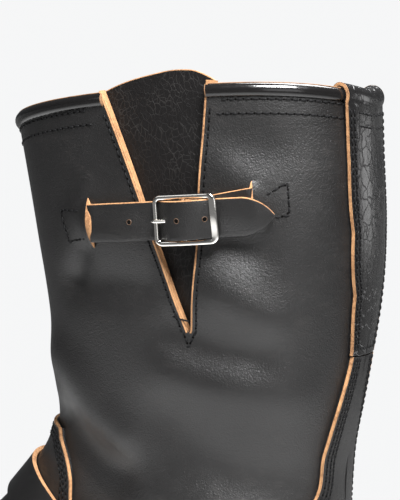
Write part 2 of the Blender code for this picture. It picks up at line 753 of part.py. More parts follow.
def wire_lift(a, base):
    """Height of the buckle's frame, which tilts up toward the strap's tip."""
    share = (a + BUCKLE_HALF_LENGTH) / (2 * BUCKLE_HALF_LENGTH)
    return base + FRONT_WIRE_LIFT + share * (BACK_WIRE_LIFT - FRONT_WIRE_LIFT)


def make_buckle(name, belt, base, half_width):
    """A rounded rectangle of wire with a bar across its middle."""
    half_length = BUCKLE_HALF_LENGTH
    corner = BUCKLE_CORNER
    frame = []
    for sign_a, sign_v, first in ((1, 1, 0), (-1, 1, 90), (-1, -1, 180), (1, -1, 270)):
        middle = (sign_a * (half_length - corner), sign_v * (half_width - corner))
        frame += arc(middle, corner, first, first + 90, 4)
        a, v = frame[-1]
        along_side = sign_a * sign_v > 0
        frame += [(a * share, v) if along_side else (a, v * share) for share in (0.5, 0, -0.5)]
    frame = np.array(frame)
    lift = wire_lift(frame[:, 0], base)
    points = belt.point(frame[:, 0], frame[:, 1], lift)
    out = belt.point(frame[:, 0], frame[:, 1], lift + 1) - points
    buckle = make_object(name, tube(points, out, WIRE, closed=True), 60)
    across = np.array([-1, -0.7, 0, 0.7, 1]) * half_width
    bar = belt.point(0, across, base + BAR_LIFT)
    bar_out = belt.point(0, across, base + BAR_LIFT + 1) - bar
    combine(buckle, make_object(name + "_bar", tube(bar, bar_out, BAR), 60), "UNION")
    return finish_as(buckle, NICKEL, 0.18, 1.0)


def prong_path(base):
    """From its eye round the bar, forward under the strap, up through the hole, over the frame."""
    eye = BAR + 0.25 + PRONG
    rest = base + FRONT_WIRE_LIFT + WIRE + 0.25 + PRONG
    path = arc((0, base + BAR_LIFT), eye, -160, 90, 9)
    path += [(-4, 0.6 * (base + BAR_LIFT + eye) + 0.4 * rest), (-8, rest), (-12.5, rest),
             (-15.4, rest - 0.45)]
    return path


def make_prong(name, belt, base):
    """The buckle's tongue, of round wire."""
    path = np.array(prong_path(base))
    points = belt.point(path[:, 0], 0, path[:, 1])
    side = belt.point(path[:, 0], 1, path[:, 1]) - points
    return finish_as(make_object(name, tube(points, side, PRONG), 60), NICKEL, 0.18, 1.0)


def prong_cutter(name, belt, base):
    """Room for the prong through the strap's hole."""
    rest = base + BAR_LIFT + BAR + 0.25 + PRONG
    a = np.linspace(0.8, -11, 5)
    points = belt.point(a, 0, rest)
    side = belt.point(a, 1, rest) - points
    return make_object(name, tube(points, side, PRONG + 0.5, 8))


def block(name, belt, a, v, d):
    """A block between two values each of a, v and d."""
    mesh = Mesh()
    mesh.loops([[belt.point(x, y, z) for x, y in ((a[0], v[0]), (a[1], v[0]), (a[1], v[1]),
                                                  (a[0], v[1]))] for z in d])
    return make_object(name, mesh)


def pointed(half, tip):
    """Half width of a strap that narrows to a point at its tip."""
    def width(a):
        share = np.clip((a - (tip - TIP_LENGTH)) / TIP_LENGTH, 0, 1)
        return half * (1 - share ** 1.9) ** 0.85 + 0.35 * share
    return width


def crest(base):
    """The strap's path through the buckle: under the frame, over the bar, under the frame."""
    low = base + STRAP_THICK / 2
    return [(-16, low), (-12.3, low + 0.05), (-10.6, low + 0.6), (-8.6, low + 2.1),
            (-6, low + 4.3), (-3, low + 6), (0, low + 6.45), (3, low + 6), (6, low + 5),
            (8.8, low + 3.4), (10.6, low + 2.35), (12.3, low + 1.65)]


def chape_loop(base):
    """The short strap's path: along the leather, round the bar and back over it."""
    run = base + CHAPE_THICK / 2
    loop = BAR + 0.25 + CHAPE_THICK / 2
    return [(12, run), (7, run + 0.05), (4.2, run + 0.35), (2, run + 0.9)] + arc(
        (0, base + BAR_LIFT), loop, -90, -300, 9)


def make_top_strap(upper):
    """The strap across the V notch, with its buckle, between two slits in the upper."""
    slope = math.radians(3.7)
    belt = Belt(57.2, 230.1, slope, (-0.80, -0.30))
    base = SHELL_GAP
    half = TOP_STRAP_WIDTH / 2
    low = base + STRAP_THICK / 2
    bend = 1.5
    path = [(TOP_SLIT, -WALL + 0.2), (TOP_SLIT, low - bend)]
    path += arc((TOP_SLIT + bend, low - bend), bend, 158, 90, 4)
    path += [(a, low) for a in (-38, -34, -30, -26, -21)] + crest(base)
    path += [(a, low + 1.65) for a in (16, 20, 24, 28)] + [(31, low + 1.3), (34.8, low + 1)]
    strap = ribbon("top_strap", belt, path, STRAP_THICK, pointed(half, 34.8))
    combine(strap, prong_cutter("top_prong_cutter", belt, base), "DIFFERENCE")
    finish_as(strap, BLACK_LEATHER, 0.4)

    run = base + CHAPE_THICK / 2
    bend = 1.2
    chape_path = [(CHAPE_SLIT, -WALL + 0.2), (CHAPE_SLIT, run - bend)]
    chape_path += arc((CHAPE_SLIT - bend, run - bend), bend, 22, 90, 4)
    chape_path += [(a, run) for a in (22, 17)] + chape_loop(base)
    chape = ribbon("top_chape", belt, chape_path, CHAPE_THICK, lambda a: half + 0 * a, CHAPE_SHEAR)
    slot = block("top_chape_slot", belt, (-3.3, 3.3), (-1.5, 1.5), (base - 0.2, base + 7))
    combine(chape, slot, "DIFFERENCE")
    finish_as(chape, BLACK_LEATHER, 0.4)

    make_buckle("top_buckle", belt, base, half + TOP_SIDE_ROOM)
    make_prong("top_prong", belt, base)
    for name, place, shear in (("strap_slit", TOP_SLIT, 0), ("chape_slit", CHAPE_SLIT, CHAPE_SHEAR)):
        middle = shear * place
        cutter = block(name, belt, (place - SLIT_HALF_WIDTH, place + SLIT_HALF_WIDTH),
                       (middle - half - 0.6, middle + half + 0.6), (-WALL - 2.5, 3))
        combine(upper, cutter, "DIFFERENCE")


def make_instep_strap():
    """The strap over the instep, sewn down on both sides and buckled on the lateral side."""
    belt = Belt(118.0, 89.8, math.radians(-35.2), (-0.93, 0.93))
    over_vamp = SHELL_GAP + OVERLAY + 0.5
    half = INSTEP_STRAP_WIDTH / 2
    low = over_vamp + STRAP_THICK / 2
    on_shaft = SHELL_GAP + STRAP_THICK / 2

    def mirrored(a):
        """The place on the medial side that mirrors one on the lateral side."""
        c = np.interp(a, belt.along[::-1], belt.columns[::-1])
        return float(np.interp(-c, belt.columns, belt.along))

    path = [(mirrored(a), on_shaft) for a in (44, 38, 34)]
    path += [(a, low) for a in np.linspace(mirrored(26), -21, 24)] + crest(over_vamp)
    path += [(a, low + 1.65) for a in (16, 20, 24, 28)]
    strap = ribbon("instep_strap", belt, path, STRAP_THICK, pointed(half, 28))
    combine(strap, prong_cutter("instep_prong_cutter", belt, over_vamp), "DIFFERENCE")
    finish_as(strap, BLACK_LEATHER, 0.4)

    shaft_run = SHELL_GAP + CHAPE_THICK / 2
    chape_path = [(44, shaft_run), (39, shaft_run), (35, shaft_run)]
    chape_path += [(a, over_vamp + CHAPE_THICK / 2) for a in (26, 21, 16)] + chape_loop(over_vamp)
    chape = ribbon("instep_chape", belt, chape_path, CHAPE_THICK, lambda a: half - 1 + 0 * a)
    slot = block("instep_chape_slot", belt, (-3.3, 3.3), (-1.5, 1.5),
                 (over_vamp - 0.2, over_vamp + 7))
    combine(chape, slot, "DIFFERENCE")
    finish_as(chape, BLACK_LEATHER, 0.4)

    make_buckle("instep_buckle", belt, over_vamp, half + INSTEP_SIDE_ROOM)
    make_prong("instep_prong", belt, over_vamp)


def main():
    """Clear the scene and build every piece."""
    for old in list(bpy.data.objects):
        bpy.data.objects.remove(old, do_unlink=True)
    make_outsole()
    make_midsole()
    make_welt()
    make_insole()
    make_heel()
    upper = make_upper()
    make_vamp()
    make_counter()
    make_backstay()
    make_collar_binding()
    make_gusset()
    make_top_strap(upper)
    make_instep_strap()


main()
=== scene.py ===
import math
from collections import namedtuple

import bmesh
import bpy
import numpy as np
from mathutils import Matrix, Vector
from mathutils.bvhtree import BVHTree


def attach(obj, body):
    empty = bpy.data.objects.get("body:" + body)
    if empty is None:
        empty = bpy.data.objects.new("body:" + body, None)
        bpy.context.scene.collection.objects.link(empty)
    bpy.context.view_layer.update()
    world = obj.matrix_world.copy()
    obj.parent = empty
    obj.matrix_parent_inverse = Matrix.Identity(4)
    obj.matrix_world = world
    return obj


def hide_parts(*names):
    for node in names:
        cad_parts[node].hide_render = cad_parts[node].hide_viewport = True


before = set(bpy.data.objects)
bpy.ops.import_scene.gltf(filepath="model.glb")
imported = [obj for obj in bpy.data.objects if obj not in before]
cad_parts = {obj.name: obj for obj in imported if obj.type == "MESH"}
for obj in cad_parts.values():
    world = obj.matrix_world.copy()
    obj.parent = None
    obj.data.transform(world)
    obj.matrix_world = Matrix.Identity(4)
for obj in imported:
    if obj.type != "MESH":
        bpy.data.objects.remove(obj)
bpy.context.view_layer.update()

MM = 0.001
SHELL_GAP = 0.45
ORIGIN_STATION = 147.43
ORIGIN_ACROSS = -1.0

# Sole layers and heel.
SOLE_LENGTH = 300.0
WELT_TOP = 13.5
UPPER_BASE = WELT_TOP + SHELL_GAP
HEEL_BREAST = 77.0
TOP_LIFT_THICK = 6.6
LIFTS_TOP = 28.0
BREAST_RAKE = 2.0
# An inset narrows the outline's half breadth by its share of this one.
FULL_HALF = 50.0

# Upper.
WALL = 2.4
OVERLAY = 1.8
BEAD_HEIGHT = 6.0
BEAD_WIDTH = 5.4
BASE_FLATTEN = 8.0
FEATHER_BACK = 2.5
FEATHER_TOE = 294.0

OutlineRow = namedtuple("OutlineRow", "station centre half_breadth")
OUTLINE = [OutlineRow(*row) for row in (
    (0, 0, 0), (10, 0, 25.5), (38, 0, 37.5), (62, -0.5, 38), (100, -2, 35.5), (130, -3.5, 37),
    (160, -4, 42), (190, -3, 49), (212, -1.5, 53), (232, 0.5, 53), (255, 3, 47.5),
    (275, 5.5, 37), (290, 7, 24), (300, 8, 0))]
BottomRow = namedtuple("BottomRow", "station height")
BOTTOM = [BottomRow(*row) for row in (
    (-12, 33.5), (0, 33), (40, 31.5), (78, 29), (100, 24.5), (125, 15.5), (150, 6), (172, 0.8),
    (185, 0), (205, 0), (222, 0), (240, 0.9), (262, 3.4), (282, 7), (300, 11), (312, 14))]
Section = namedtuple("Section", "base base_height top top_height half_width boxy ridge_across")
SECTIONS = [Section(*row) for row in (
    (294.0, None, 294.0, None, 0.0, 2.2, 8),
    (292.6, None, 292.8, 33.5, 12.0, 2.2, 8),
    (289.0, None, 289.2, 42.0, 21.5, 2.2, 8),
    (283.0, None, 283.2, 49.3, 30.0, 2.2, 7.5),
    (274.0, None, 274.5, 55.0, 38.0, 2.2, 7),
    (262.0, None, 262.5, 58.5, 43.8, 2.2, 6.5),
    (246.0, None, 247.0, 60.5, 48.0, 2.15, 6),
    (228.0, None, 231.0, 62.8, 50.0, 2.1, 5.5),
    (208.0, None, 216.0, 67.5, 49.5, 2.05, 5),
    (186.0, None, 202.5, 74.5, 46.5, 2.0, 5),
    (162.0, None, 190.0, 82.5, 43.0, 2.0, 5),
    (136.0, None, 177.5, 92.0, 40.3, 2.0, 4.5),
    (108.0, None, 165.5, 102.5, 38.8, 2.05, 4),
    (80.0, None, 155.5, 113.0, 38.3, 2.1, 3),
    (54.0, None, 148.0, 122.0, 38.0, 2.15, 2.5),
    (32.0, None, 143.2, 129.0, 37.8, 2.2, 2),
    (16.0, None, 140.6, 134.0, 37.6, 2.2, 1.5),
    (6.0, None, 139.2, 137.5, 37.5, 2.2, 1.2),
    (2.5, None, 138.4, 140.2, 37.5, 2.2, 1),
    (1.8, 58.0, 138.0, 143.2, 37.5, 2.2, 0.8),
    (3.0, 71.0, 137.9, 147.3, 37.6, 2.2, 0.6),
    (6.5, 85.0, 138.1, 152.0, 37.9, 2.2, 0.4),
    (9.8, 100.0, 138.6, 158.0, 38.5, 2.25, 0.2),
    (10.3, 116.0, 139.2, 165.5, 39.5, 2.25, 0),
    (8.8, 134.0, 139.6, 175.0, 41.0, 2.3, 0),
    (5.4, 154.0, 139.9, 187.0, 42.8, 2.3, 0),
    (1.4, 176.0, 141.6, 201.0, 44.5, 2.35, 0),
    (-1.8, 199.0, 144.2, 216.5, 46.0, 2.4, 0),
    (-2.9, 224.0, 147.2, 233.0, 47.2, 2.4, 0),
    (-1.8, 251.0, 150.6, 250.5, 48.0, 2.4, 0),
    (0.0, 279.5, 154.0, 267.0, 48.5, 2.4, 0),
    (1.6, 308.0, 157.2, 283.0, 49.0, 2.4, 0))]
LAST_WELT_ROW = 17
CLOSED_ROW = 18
RIM_ROW = 30
GUIDE_ROW = 31
EVEN_ROW = 28.5
# Half steps between the places that a direction on the surface is measured from.
ROW_STEP = 0.02
COLUMN_STEP = 0.004
RISE_FIRST_ROW = 24
RISE_LATERAL = 8.5
RISE_MEDIAL = 5.0

EdgeRow = namedtuple("EdgeRow", "height station")
VAMP_EDGE = [EdgeRow(*row) for row in (
    (30, 84), (41, 92.5), (46, 96), (55, 101.5), (66, 107), (80, 113), (95, 117.5), (109, 119.8),
    (118.4, 120.4), (125.7, 122.9), (134, 128.2), (138.8, 132), (140.6, 139), (150, 170),
    (170, 230))]
COUNTER_EDGE = [EdgeRow(*row) for row in (
    (30, 91), (41, 83), (46.5, 79.5), (55, 73), (65, 60), (78, 42), (92, 24), (104, 11), (116, 5),
    (132, 3.7), (144, 2.9), (156, 2), (168, 1.3), (193, 1.3), (217, 1.7), (237, 1.9), (277, 1.6),
    (310, 1.6))]
BACK_SEAM_ROW = 25.9
OVERLAY_STITCH = {"pitch": 2.9, "length": 2.1}

NotchRow = namedtuple("NotchRow", "height front back")
NOTCH = [NotchRow(*row) for row in (
    (184, 59.8, 58.9), (215, 70.2, 55.2), (247, 81.8, 53), (280, 95.4, 50.2), (306, 107, 48))]
V_POINT_ROW = 25.8
BEAD_FRONT_C = -0.441
NOTCH_FOOT = 59.35
GUSSET_C = (-0.63, -0.425)
GUSSET_FOOT_ROW = 25.4
GUSSET_GAP = 1.95
GUSSET_THICK = 1.5
GussetRow = namedtuple("GussetRow", "station height")
GUSSET_TOP = [GussetRow(*row) for row in (
    (36, 272), (45.7, 283.3), (48, 285.1), (51.8, 287), (55.8, 288.4), (62.5, 288.8),
    (75.5, 286.7), (89, 283), (97.2, 279.6), (104, 276))]

# Straps.
TOP_STRAP_WIDTH = 15.6
INSTEP_STRAP_WIDTH = 19.0
STRAP_THICK = 2.2
CHAPE_THICK = 1.3
WIRE = 0.9
BAR = 0.8
PRONG = 0.7
BUCKLE_HALF_LENGTH = 12.3
BUCKLE_CORNER = 2.4
TOP_SIDE_ROOM = 1.4
INSTEP_SIDE_ROOM = 2.6
FRONT_WIRE_LIFT = 3.45
BACK_WIRE_LIFT = 5.1
BAR_LIFT = 3.6
TOP_SLIT = -43.8
CHAPE_SLIT = 26.6
CHAPE_SHEAR = 0.13
TIP_LENGTH = 13.0
BELOW_FRAME = 1.65
HOLE_PLACES = (-24.4, -1.6, 8.6)
INSIDE = (75.0, 0.0, 150.0)
FLOOR_GLOW = 0.24
PALE = (0.92, 0.925, 0.93, 1)

# Soft folds in the leather: a path of (station, height), how wide, how far out, and which side.
Fold = namedtuple("Fold", "side width depth path")
LATERAL, MEDIAL = -1, 1
FOLDS = [Fold(*row) for row in (
    (LATERAL, 10, 2.7, ((44, 200), (38, 197), (28, 191))),
    (LATERAL, 9, -2.6, ((45, 221), (38, 220), (32, 218))),
    (LATERAL, 9, 2.2, ((126, 169), (116, 161), (104, 149), (92, 140))),
    (LATERAL, 9, -2.1, ((122, 143), (112, 134), (102, 127), (94, 124))),
    (LATERAL, 12, -1.8, ((70, 148), (58, 138), (42, 128), (26, 126))),
    (LATERAL, 12, 2.2, ((66, 166), (46, 163), (24, 160))),
    (LATERAL, 10, -2.4, ((66, 184), (50, 178), (34, 176))),
    (LATERAL, 12, 2.8, ((84, 109), (70, 112), (54, 110), (40, 104))),
    (LATERAL, 9, -2.2, ((80, 202), (94, 203), (112, 202))),
    (LATERAL, 8, 1.6, ((82, 224), (96, 224), (108, 228))),
    (LATERAL, 6, 1.0, ((108, 234), (104, 242))),
    (LATERAL, 5, -1.4, ((108, 214), (113, 204))),
    (LATERAL, 7, 0.8, ((32, 244), (40, 249))),
    (LATERAL, 10, -1.2, ((44, 264), (24, 258))),
    (MEDIAL, 10, 2.2, ((132, 172), (112, 160), (90, 150))),
    (MEDIAL, 11, -2.5, ((134, 154), (112, 142), (90, 134))),
    (MEDIAL, 13, 2.2, ((60, 190), (40, 180), (24, 172))),
    (MEDIAL, 12, -2.2, ((70, 162), (46, 150), (26, 140))),
    (MEDIAL, 12, 2.0, ((84, 134), (60, 124), (36, 118))))]


def smooth_curve(x, rows_x, rows_y):
    """Smooth curve through the points of a table."""
    xs = np.asarray(rows_x, float)
    ys = np.asarray(rows_y, float)
    x = np.clip(np.asarray(x, float), xs[0], xs[-1])
    slopes = np.diff(ys) / np.diff(xs)
    spans = np.diff(xs)
    tangents = np.empty_like(ys)
    tangents[1:-1] = ((slopes[:-1] * spans[1:] + slopes[1:] * spans[:-1])
                      / (spans[1:] + spans[:-1]))
    tangents[0] = 2 * slopes[0] - tangents[1]
    tangents[-1] = 2 * slopes[-1] - tangents[-2]
    k = np.clip(np.searchsorted(xs, x, side="right") - 1, 0, len(xs) - 2)
    t = (x - xs[k]) / spans[k]
    return ((2 * t**3 - 3 * t**2 + 1) * ys[k] + (t**3 - 2 * t**2 + t) * spans[k] * tangents[k]
            + (3 * t**2 - 2 * t**3) * ys[k + 1] + (t**3 - t**2) * spans[k] * tangents[k + 1])


def read_table(table, x):
    """Second column of a two-column table at x in its first."""
    return smooth_curve(x, *zip(*table))


def bisect(function, low, high):
    """Where a rising function of arrays crosses zero between low and high."""
    for _ in range(30):
        middle = 0.5 * (low + high)
        below = function(middle) < 0
        low = np.where(below, middle, low)
        high = np.where(below, high, middle)
    return 0.5 * (low + high)


def outline(station):
    """Centre line and half breadth of the sole at a station."""
    stations, centres, halves = zip(*OUTLINE)
    turns = np.arccos(1 - 2 * np.asarray(stations, float) / SOLE_LENGTH)
    turn = np.arccos(np.clip(1 - 2 * np.asarray(station, float) / SOLE_LENGTH, -1, 1))
    return smooth_curve(turn, turns, centres), smooth_curve(turn, turns, halves)


def underside(station):
    """Height of the outsole's underside."""
    return np.maximum(read_table(BOTTOM, station), 0)


def feather(station):
    """Centre line and half breadth of the line where the upper meets the welt."""
    centre, _ = outline(station)
    share = (np.asarray(station, float) - FEATHER_BACK) / (FEATHER_TOE - FEATHER_BACK)
    _, half = outline(np.clip(share, 0, 1) * SOLE_LENGTH)
    inset = np.interp(station, [0, 40, 90, SOLE_LENGTH], [2.5, 2.8, 6, 6])
    return centre, half * (1 - inset / FULL_HALF)


def section_columns():
    """SECTIONS as columns, with a mirrored row before the toe that keeps the toe upright."""
    rows = []
    for section in SECTIONS:
        floor = float(underside(section.base)) + UPPER_BASE
        base_height = floor if section.base_height is None else section.base_height
        top_height = floor if section.top_height is None else section.top_height
        rows.append((section.base, base_height, section.top, top_height, section.half_width,
                     section.boxy, section.ridge_across))
    before = list(rows[1])
    before[3] = 2 * rows[0][3] - rows[1][3]
    before[4] = -rows[1][4]
    return np.array([before] + rows, float).T


COLUMNS = section_columns()
ROW_NUMBERS = np.arange(-1, len(SECTIONS))


def surface(c, r):
    """The upper's outer form: station, across and height at (c, r)."""
    c, r = np.broadcast_arrays(np.asarray(c, float), np.asarray(r, float))
    base, base_height, top, top_height, width, boxy, ridge = (
        smooth_curve(r, ROW_NUMBERS, column) for column in COLUMNS)
    base_height = np.where(r < LAST_WELT_ROW, underside(base) + UPPER_BASE, base_height)
    centre, half = feather(base)
    half = np.where(r < CLOSED_ROW, half, 0)
    centre = np.where(r < CLOSED_ROW, centre, 0)
    width = np.maximum(width, 1e-6)
    power = 2 / boxy
    start = np.arcsin(np.clip(half / width, 0, 0.985) ** (1 / power))
    turn = np.pi + (start - np.pi) * np.abs(c)
    low = np.abs(np.cos(start)) ** power
    share = (low - np.sign(np.cos(turn)) * np.abs(np.cos(turn)) ** power) / (low + 1)
    across = (centre + (ridge - centre) * share
              + np.sign(c) * width * np.abs(np.sin(turn)) ** power)
    rise = np.clip((r - RISE_FIRST_ROW) / (RIM_ROW - RISE_FIRST_ROW), 0, None) ** 1.5
    rise = rise * np.sin(np.pi * np.abs(c)) * np.where(c < 0, RISE_LATERAL, RISE_MEDIAL)
    height = base_height + (top_height - base_height) * share + rise
    return np.stack([base + (top - base) * share, across, height], -1)


def around(c, r):
    """Keep c within -1 to 1: it passes round the back on closed rows, and stops on open ones."""
    wrapped = np.where(np.abs(c) > 1, c - 2 * np.sign(c), c)
    return np.where(r >= CLOSED_ROW, wrapped, np.clip(c, -1, 1))


def outward(c, r):
    """Unit vector out of the surface, turned level near the welt."""
    c, r = np.broadcast_arrays(np.asarray(c, float), np.asarray(r, float))
    place = surface(c, r)
    r = np.clip(r, 0.15, GUIDE_ROW - ROW_STEP)
    along = (surface(around(c + COLUMN_STEP, r), r)
             - surface(around(c - COLUMN_STEP, r), r))
    before, after = r - ROW_STEP, r + ROW_STEP
    before = np.where((r >= CLOSED_ROW) & (before < CLOSED_ROW), r, before)
    after = np.where((r < CLOSED_ROW) & (after >= CLOSED_ROW), r, after)
    up = surface(c, after) - surface(c, before)
    normal = np.cross(along, up)
    normal /= np.linalg.norm(normal, axis=-1, keepdims=True)
    floor = underside(place[..., 0]) + UPPER_BASE
    normal[..., 2] *= np.clip((place[..., 2] - floor) / BASE_FLATTEN, 0, 1)
    return normal / np.linalg.norm(normal, axis=-1, keepdims=True)


def fold_relief(place, c):
    """How far the soft folds push the leather out at a place."""
    total = np.zeros(place.shape[:-1])
    spot = place[..., [0, 2]]
    for fold in FOLDS:
        nearest = np.full(total.shape, 1e9)
        for start, end in zip(fold.path[:-1], fold.path[1:]):
            start, run = np.array(start, float), np.subtract(end, start).astype(float)
            share = np.clip(((spot - start) @ run) / (run @ run), 0, 1)
            away = np.linalg.norm(spot - start - share[..., None] * run, axis=-1)
            nearest = np.minimum(nearest, away)
        on_side = np.clip(fold.side * c / 0.15, 0, 1)
        total += fold.depth * np.exp(-(nearest / fold.width) ** 2) * on_side
    return total


def off_surface(c, r, d):
    """The point at distance d out from the folded surface at (c, r)."""
    c, r, d = np.broadcast_arrays(*(np.asarray(value, float) for value in (c, r, d)))
    c = np.where(r < 1e-6, 0, c)
    place = surface(c, r)
    point = place + outward(c, r) * (d + fold_relief(place, c))[..., None]
    floor = underside(point[..., 0]) + UPPER_BASE
    point[..., 2] = np.where(r < CLOSED_ROW + 0.5, np.maximum(point[..., 2], floor), point[..., 2])
    return point


def rim_row(c, below):
    """The row that lies a given height below the rim."""
    c, below = np.broadcast_arrays(np.asarray(c, float), np.asarray(below, float))
    rim = surface(c, RIM_ROW)[..., 2]
    return bisect(lambda r: surface(c, r)[..., 2] - rim + below,
                  np.full(c.shape, 20.0), np.full(c.shape, float(GUIDE_ROW)))


def vamp_row(c):
    """The row on which the vamp's edge lies."""
    c = np.asarray(c, float)

    def behind_edge(r):
        place = surface(c, r)
        return read_table(VAMP_EDGE, place[..., 2]) - place[..., 0]

    return bisect(behind_edge, np.full(c.shape, 8.0), np.full(c.shape, 19.0))


def counter_column(r):
    """The c, on the lateral side, on which the counter's or back strip's edge lies."""
    r = np.asarray(r, float)
    back_stations, back_heights = COLUMNS[:2, CLOSED_ROW + 1:]

    def ahead_of_edge(c):
        place = surface(c, r)
        back = np.interp(place[..., 2], back_heights, back_stations)
        return place[..., 0] - back - read_table(COUNTER_EDGE, place[..., 2])

    return bisect(ahead_of_edge, np.full(r.shape, -1.0), np.full(r.shape, -0.05))


def notch_column(r, edge):
    """The c at which a row meets the V notch's front or back edge; below its foot they meet."""
    r = np.maximum(np.asarray(r, float), 22)
    heights = [row.height for row in NOTCH]
    stations = [getattr(row, edge) for row in NOTCH]

    def ahead_of_edge(c):
        place = surface(c, r)
        line = smooth_curve(place[..., 2], heights, stations)
        return place[..., 0] - np.where(place[..., 2] < heights[0], NOTCH_FOOT, line)

    return bisect(ahead_of_edge, np.full(r.shape, -0.8), np.full(r.shape, -0.2))


class Piece:
    """Corner points and faces, each face with a material number, that become one object."""

    def __init__(self):
        self.points = []
        self.faces = []
        self.materials = []
        self.count = 0

    def add_points(self, points):
        """Add points and say the number of the first."""
        points = np.reshape(points, (-1, 3))
        first = self.count
        self.points.append(points)
        self.count += len(points)
        return first

    def add_faces(self, faces, material):
        """Add faces, as lists of point numbers, in one material."""
        self.faces.extend(faces)
        self.materials.extend([material] * len(faces))

    def grid(self, points, material=0, closed_rows=False, closed_columns=False):
        """Quads over a grid of points."""
        points = np.asarray(points, float)
        rows, columns = points.shape[:2]
        index = self.add_points(points) + np.arange(rows * columns).reshape(rows, columns)
        if closed_rows:
            index = np.concatenate([index, index[:1]])
        if closed_columns:
            index = np.concatenate([index, index[:, :1]], axis=1)
        quads = np.stack([index[:-1, :-1], index[:-1, 1:], index[1:, 1:], index[1:, :-1]], -1)
        self.add_faces(quads.reshape(-1, 4).tolist(), material)

    def cap(self, ring, material=0):
        """One flat face over a ring of points."""
        first = self.add_points(ring)
        self.add_faces([list(range(first, first + len(ring)))], material)

    def all_points(self):
        """All points in one array."""
        return np.concatenate(self.points)

    def ground(self):
        """The faces as something to lay stitches on."""
        return BVHTree.FromPolygons(self.all_points().tolist(), self.faces)

    def make(self, name, materials, slot, replaces=(), sharp=40):
        """The Blender object, riding on the boot's body."""
        points = self.all_points()
        world = np.stack([ORIGIN_STATION - points[:, 0], points[:, 1] - ORIGIN_ACROSS,
                          points[:, 2]], -1) * MM
        data = bpy.data.meshes.new(name)
        data.from_pydata(world.tolist(), [], self.faces)
        data.polygons.foreach_set("material_index", self.materials)
        for material in materials:
            data.materials.append(material)
        builder = bmesh.new()
        builder.from_mesh(data)
        bmesh.ops.remove_doubles(builder, verts=builder.verts, dist=2e-6)
        bmesh.ops.recalc_face_normals(builder, faces=builder.faces)
        builder.to_mesh(data)
        builder.free()
        data.shade_smooth()
        data.set_sharp_from_angle(angle=math.radians(sharp))
        made = bpy.data.objects.new(name, data)
        bpy.context.scene.collection.objects.link(made)
        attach(made, "root")
        if replaces:
            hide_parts(*replaces)
        return made


def unit(vectors):
    """The vectors at length 1."""
    return vectors / np.linalg.norm(vectors, axis=-1, keepdims=True)


def lengths_along(path):
    """Distance along a path at each of its points."""
    steps = np.linalg.norm(np.diff(path, axis=0), axis=-1)
    return np.concatenate([[0], np.cumsum(steps)])


def between(places, length, path):
    """Points of a path at given distances along it."""
    return np.stack([np.interp(places, length, path[:, k]) for k in range(3)], -1)


def flat_sides(run):
    """Unit vectors to the left of directions in a plane."""
    run = unit(run)
    return np.stack([-run[:, 1], run[:, 0]], -1)


def around_circle(count):
    """Evenly spaced angles round a circle."""
    return np.linspace(0, 2 * np.pi, count + 1)[:-1]


def smooth_path(path, count):
    """A smooth curve through the points of a path."""
    path = np.asarray(path, float)
    length = lengths_along(path)
    kept = np.concatenate([[True], np.diff(length) > 1e-6])
    path, length = path[kept], length[kept]
    even = np.linspace(0, length[-1], count)
    return np.stack([smooth_curve(even, length, path[:, k]) for k in range(path.shape[1])], -1)


def lay_stitches(piece, path, ground=None, normals=None, pitch=3.2, length=2.35, radius=0.4,
                 material=0):
    """Short rounded threads along a path that dip into the leather, with flat dark discs between
    them, painted shade in the needle holes.
    """
    path = np.asarray(path, float)
    total = lengths_along(path)
    count = max(2, int(round(total[-1] / pitch)))
    even = (np.arange(count) + 0.5) * total[-1] / count
    centre = between(even, total, path)
    run = unit(between(even + 0.4, total, path) - between(even - 0.4, total, path))
    if ground is None:
        out = between(even, total, normals)
    else:
        out = np.empty_like(centre)
        for k in range(count):
            found, normal, _, _ = ground.find_nearest(Vector(centre[k]))
            side = 1 if normal.dot(Vector(centre[k]) - Vector(INSIDE)) > 0 else -1
            centre[k] = found
            out[k] = normal * side
    side = unit(np.cross(out, run))
    out = np.cross(run, side)
    xs = np.array([-0.5, -0.42, -0.2, 0.2, 0.42, 0.5]) * length
    sizes = np.array([0.25, 0.8, 1, 1, 0.8, 0.25]) * radius
    lift = 0.16 - 1.1 * (xs / length) ** 2
    turns = around_circle(6)
    ring_side = np.cos(turns)[None, :] * sizes[:, None]
    ring_out = np.sin(turns)[None, :] * sizes[:, None] + lift[:, None]
    # Flat dark discs at the gaps between stitches: painted shade in the needle holes
    hole_shade_ring = radius * 1.25 * (np.cos(turns)[:, None, None] * run
                                   + np.sin(turns)[:, None, None] * side)
    gaps = 0.5 * (centre[1:] + centre[:-1]) + out[:-1] * 0.06
    for k in range(count - 1):
        piece.cap(gaps[k] + hole_shade_ring[:, k], 1)
    for k in range(count):
        points = (centre[k] + xs[:, None, None] * run[k] + ring_side[..., None] * side[k]
                  + ring_out[..., None] * out[k])
        piece.grid(points, material, closed_columns=True)


def edging(piece, path, out, inward, profile, material):
    """A strip along a sheet's edge whose profile is given as (distance inward, distance out)."""
    profile = np.asarray(profile, float)
    points = (path[:, None] + inward[:, None] * profile[None, :, 0, None]
              + out[:, None] * profile[None, :, 1, None])
    piece.grid(points, material)


def edge_frame(c, r, toward):
    """Path and outward and inward directions along an edge; toward points into the leather."""
    path = off_surface(c, r, 0)
    out = outward(c, r)
    run = unit(np.gradient(path, axis=0))
    inward = unit(np.cross(out, run))
    sign = np.sign((inward * toward).sum(-1, keepdims=True))
    return path, out, inward * sign


def row_at(u, c):
    """Rows by their number up to EVEN_ROW, then evenly up to the middle of the bead."""
    top = rim_row(c, BEAD_HEIGHT / 2)
    return np.where(u <= EVEN_ROW, u, EVEN_ROW + (u - EVEN_ROW) * (top - EVEN_ROW))


def notch_edge(u, edge):
    """c and r along an edge of the V notch."""
    c = notch_column(u, edge)
    for _ in range(3):
        c = notch_column(row_at(u, c), edge)
    return c, row_at(u, c)


